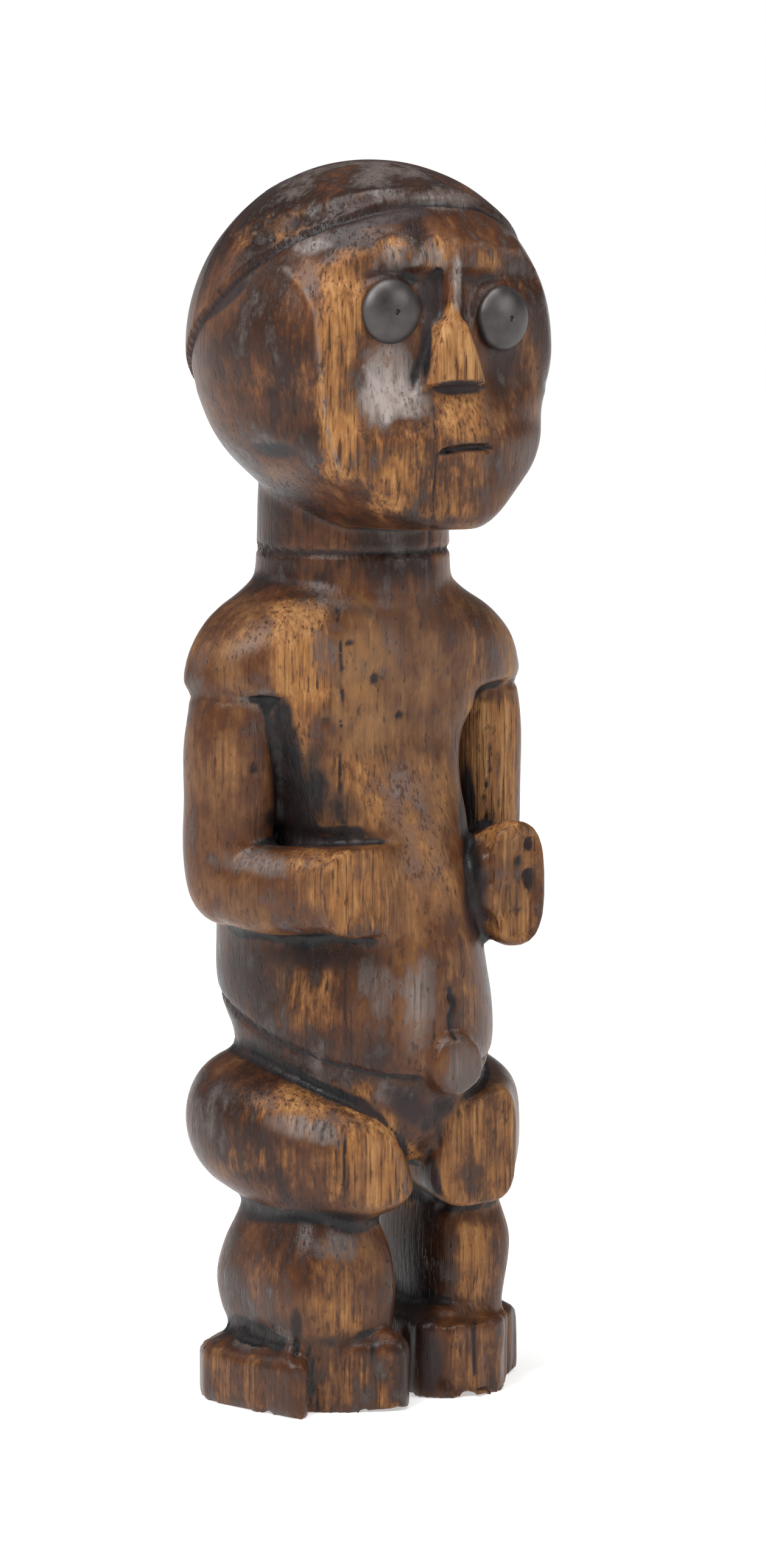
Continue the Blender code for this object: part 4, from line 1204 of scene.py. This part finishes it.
# Noises from the finest fibres to the broadest clouds: scale, length up the grain, detail, roughness
fibres = grain_noise(wood_place, 900, 22, 4, 0.6)
streaks = grain_noise(wood_place, 330, 16, 5, 0.65)
mottle = grain_noise(wood_place, 210, 1.8, 6, 0.7)
clouds = grain_noise(wood_place, 60, 1.6, 4, 0.6)
flecks = grain_noise(wood_place, 640, 3.0, 2, 0.5)
fine = scaled(streaks, 0.5, scaled(fibres, 0.5, -0.5))
soft = scaled(clouds, 0.6, scaled(mottle, 0.4, -0.5))
ragged = scaled(soft, 2.0, scaled(fine, 0.5))

patina_tone = scaled(scaled(clouds, 1, -0.5), 1.5, worn["tone"])
patina_tone = scaled(scaled(mottle, 1, -0.5), 0.6, patina_tone)
patina_tone = scaled(fine, 0.6, patina_tone)
bare_tone = scaled(soft, 1.6, scaled(fine, 2.6, 0.5))
bare_tone = scaled(scaled(worn["bare"], 1, -0.62), 0.55, bare_tone)
bare_share = between(scaled(worn["bare"], 1, ragged), 0.30, 0.82)
wood_colour = blend(bare_share, colours(patina_tone, PATINA), colours(bare_tone, BARE_WOOD))

# The polish's painted grey sheen, a painted reflection laid over the wood's colour; the polish also makes
# the wood glossier.
polish_and_sheen_share = between(scaled(ragged, -2.2, worn["polish_and_sheen"]), 0.25, 1.0, 0.0, 0.8)
sheen_tone = scaled(soft, 2.4, scaled(fine, 2.4, worn["sheen_paleness"]))
sheen_colour = colours(sheen_tone, [(0.1, SHEEN_DARK), (0.9, SHEEN_PALE)])
wood_colour = blend(polish_and_sheen_share, wood_colour, sheen_colour)

pores = between(fibres, 0.42, 0.33)
pore_share = scaled(pores, scaled(bare_share, 0.4, 0.3))
wood_colour = blend(pore_share, wood_colour, PORE_BROWN)
specks = scaled(between(flecks, 0.40, 0.33), between(mottle, 0.56, 0.42))
wood_colour = blend(scaled(specks, 0.55), wood_colour, PORE_BROWN)

# Soot and painted shade: the soot layer darkens the wood to black and purple-brown.
soot_and_shade_share = between(scaled(ragged, 0.8, worn["soot_and_shade"]), 0.22, 0.66)
soot_and_shade_colour = colours(clouds, [(0.42, SOOT_AND_SHADE_BLACK), (0.62, SOOT_AND_SHADE_PURPLE)])
wood_colour = blend(soot_and_shade_share, wood_colour, soot_and_shade_colour)

gloss = scaled(bare_share, 0.17, WOOD_ROUGHNESS)
gloss = scaled(soft, 0.4, gloss)
gloss = scaled(polish_and_sheen_share, -0.06, gloss)
gloss = scaled(soot_and_shade_share, 0.10, gloss)
relief = scaled(fine, scaled(bare_share, 1.6, 0.35))
relief = scaled(mottle, 0.35, relief)
relief = scaled(pore_share, -0.45, relief)
relief = scaled(specks, -0.3, relief)
stand_out(relief, RELIEF_STRENGTH, RELIEF_DEPTH, wood_surface)
plug(wood_colour, wood_surface.inputs["Base Color"])
plug(gloss, wood_surface.inputs["Roughness"])
wood_surface.inputs["Specular IOR Level"].default_value = WOOD_SHEEN
skin.materials.clear()
skin.materials.append(wood)

skin_normals()
skin.shade_smooth()
figure = in_scene("carved_figure", skin)
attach(figure, "root")
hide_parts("figure")

# The eyes: two domed discs of dark metal, turned down at the rim, each with a small hole at its middle
# where a pin held it. They lie in the seats of the sockets.
DISC_DOME = 5.8
DISC_RIM = 1.2
DISC_GAP = 0.3
PIN_HOLE = 1.1
DISC_BEND = 0.96
DISC_RINGS = 26
DISC_POINTS = 128
HOLE_PROFILE = [
    # radius, how far below the top of the dome
    (0, 1.0),
    (0.55, 0.95),
    (0.9, 0.35),
]
RIM_PROFILE = [
    # share of the disc's radius, height
    (0.997, DISC_RIM * 0.8),
    (1, DISC_RIM * 0.5),
    (1, 0.25),
    (0.985, 0),
    (0.5, 0),
    (0, 0),
]
METAL_DARK = (0.034, 0.030, 0.029)
METAL_GREY = (0.082, 0.073, 0.070)
METAL_SHARE = 0.55
METAL_ROUGHNESS = (0.36, 0.44)
DENT_STRENGTH = 0.12
DENT_DEPTH = 0.0002
MERGE_DISTANCE = 1e-6
SHARP_ANGLE = math.radians(50)

metal, metal_surface, metal_place = new_finish("dark_domed_metal")
tarnish = grain_noise(metal_place, 130, 1, 4, 0.5)
scuffs = grain_noise(metal_place, 900, 1, 3, 0.6)
metal_colour = colours(tarnish, [(0.3, METAL_DARK), (0.75, METAL_GREY)])
plug(metal_colour, metal_surface.inputs["Base Color"])
metal_surface.inputs["Metallic"].default_value = METAL_SHARE
plug(between(tarnish, 0.3, 0.7, *METAL_ROUGHNESS), metal_surface.inputs["Roughness"])
stand_out(scuffs, DENT_STRENGTH, DENT_DEPTH, metal_surface)


def disc(side, name):
    """A dome over turn and radius: a circle's arc from the pin hole to the rim, then a flat back."""
    share = np.linspace(PIN_HOLE / DISC_RADIUS, 0.985, DISC_RINGS)
    edge = math.sqrt(1 - DISC_BEND**2)
    rise = (np.sqrt(1 - (DISC_BEND * share) ** 2) - edge) / (1 - edge)
    hole_radius, hole_depth = np.array(HOLE_PROFILE).T
    rim_share, rim_height = np.array(RIM_PROFILE).T
    radius = np.concatenate([hole_radius, DISC_RADIUS * share, DISC_RADIUS * rim_share])[:, None]
    dome = DISC_RIM + (DISC_DOME - DISC_RIM) * rise
    height = np.concatenate([DISC_DOME - hole_depth, dome, rim_height])[:, None] + DISC_GAP
    turn = full_turn(DISC_POINTS)
    grid = np.stack([radius * np.cos(turn), radius * np.sin(turn), height + 0 * turn], axis=-1)
    splay = Matrix.Rotation(side * EYE_SPLAY, 3, "Z")
    facing = np.array(splay @ Matrix.Rotation(math.pi / 2, 3, "X"))
    middle = np.array([side * EYE_SPREAD, EYE_SEAT_Y, EYE_HEIGHTS[side]])
    placed = to_metres(grid.reshape(-1, 3) @ facing.T + middle)
    mesh = bpy.data.meshes.new(name)
    mesh.from_pydata(placed, [], ring_quads(grid)[:, [0, 3, 2, 1]])
    mesh.materials.append(metal)
    piece = in_scene(name, mesh)
    weld = piece.modifiers.new("weld", "WELD")
    weld.merge_threshold = MERGE_DISTANCE
    depsgraph = bpy.context.evaluated_depsgraph_get()
    solid = bpy.data.meshes.new_from_object(piece.evaluated_get(depsgraph))
    piece.modifiers.clear()
    piece.data = solid
    solid.name = name
    solid.shade_smooth()
    solid.set_sharp_from_angle(angle=SHARP_ANGLE)
    return piece


for side, name in ((RIGHT, "right"), (LEFT, "left")):
    eye = disc(side, f"domed_disc_{name}")
    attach(eye, "root")
    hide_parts(f"eye_disc_{name}")

# The studio: a broad flat floor of pale paper with a painted glow, an emission that grows with distance, so
# that it runs out into white. Four soft lights stand round the figure, and the sky is white at the horizon
# and dim overhead.
FLOOR_COLOUR = (0.86, 0.86, 0.86)
FLOOR_RADIUS = 9.0
PAPER_GLOW = 0.46
PAPER_GLOW_AFAR = 1.05
GLOW_RISES = (0.6, 2.2)
SKY_LOW = 1.0
SKY_HIGH = 0.14
SKY_DIMS = (0.07, 0.13)
LIGHT_AIM = Vector((0, 0, 0.24))
LIGHTS = [
    # name, turn and tilt in degrees, distance and size in metres, watts
    ("key", -70, 46, 1.5, 0.8, 21),
    ("fill", 35, 28, 1.8, 0.8, 10),
    ("top", -20, 80, 1.5, 0.9, 17),
    ("behind_left", -140, 30, 1.5, 0.7, 2.5),
]

turn = full_turn(96)
floor_edge = FLOOR_RADIUS * np.column_stack([np.cos(turn), np.sin(turn), 0 * turn])
floor_mesh = bpy.data.meshes.new("floor")
floor_mesh.from_pydata(floor_edge, [], [np.arange(len(turn))])
floor = in_scene("floor", floor_mesh)
glowing_paper, paper_surface, paper_place = new_finish("pale_paper_painted_glow")
paper_surface.inputs["Base Color"].default_value = (*FLOOR_COLOUR, 1)
paper_surface.inputs["Roughness"].default_value = 0.9
paper_surface.inputs["Specular IOR Level"].default_value = 0.1
# The paper's painted glow: an emission that is brighter far off than near the figure.
paper_surface.inputs["Emission Color"].default_value = (1, 1, 1, 1)
distance = new_node(paper_place, "VectorMath")
distance.operation = "LENGTH"
plug(paper_place, distance.inputs[0])
glow = between(distance.outputs["Value"], *GLOW_RISES, PAPER_GLOW, PAPER_GLOW_AFAR)
plug(glow, paper_surface.inputs["Emission Strength"])
floor_mesh.materials.append(glowing_paper)


def soft_light(name, turn, tilt, distance, size, power):
    """A square soft light that looks at the figure's middle from a turn and a tilt."""
    lamp = bpy.data.lights.new(name, "AREA")
    lamp.shape = "SQUARE"
    lamp.size = size
    lamp.energy = power
    holder = in_scene(name, lamp)
    turn, tilt = math.radians(turn), math.radians(tilt)
    level = math.cos(tilt)
    way = Vector((math.sin(turn) * level, -math.cos(turn) * level, math.sin(tilt)))
    holder.location = LIGHT_AIM + way * distance
    holder.rotation_euler = way.to_track_quat("Z", "Y").to_euler()


for light in LIGHTS:
    soft_light(*light)
sky = bpy.data.worlds.new("studio")
sky.use_nodes = True
sky_tree = sky.node_tree
sky_place = sky_tree.nodes.new("ShaderNodeTexCoord").outputs["Generated"]
sky_parts = new_node(sky_place, "SeparateXYZ")
plug(sky_place, sky_parts.inputs[0])
sky_light = between(sky_parts.outputs["Z"], *SKY_DIMS, SKY_LOW, SKY_HIGH)
sky_tree.nodes["Background"].inputs["Color"].default_value = (1, 1, 1, 1)
plug(sky_light, sky_tree.nodes["Background"].inputs["Strength"])
bpy.context.scene.world = sky
bpy.context.scene.view_settings.view_transform = "Standard"
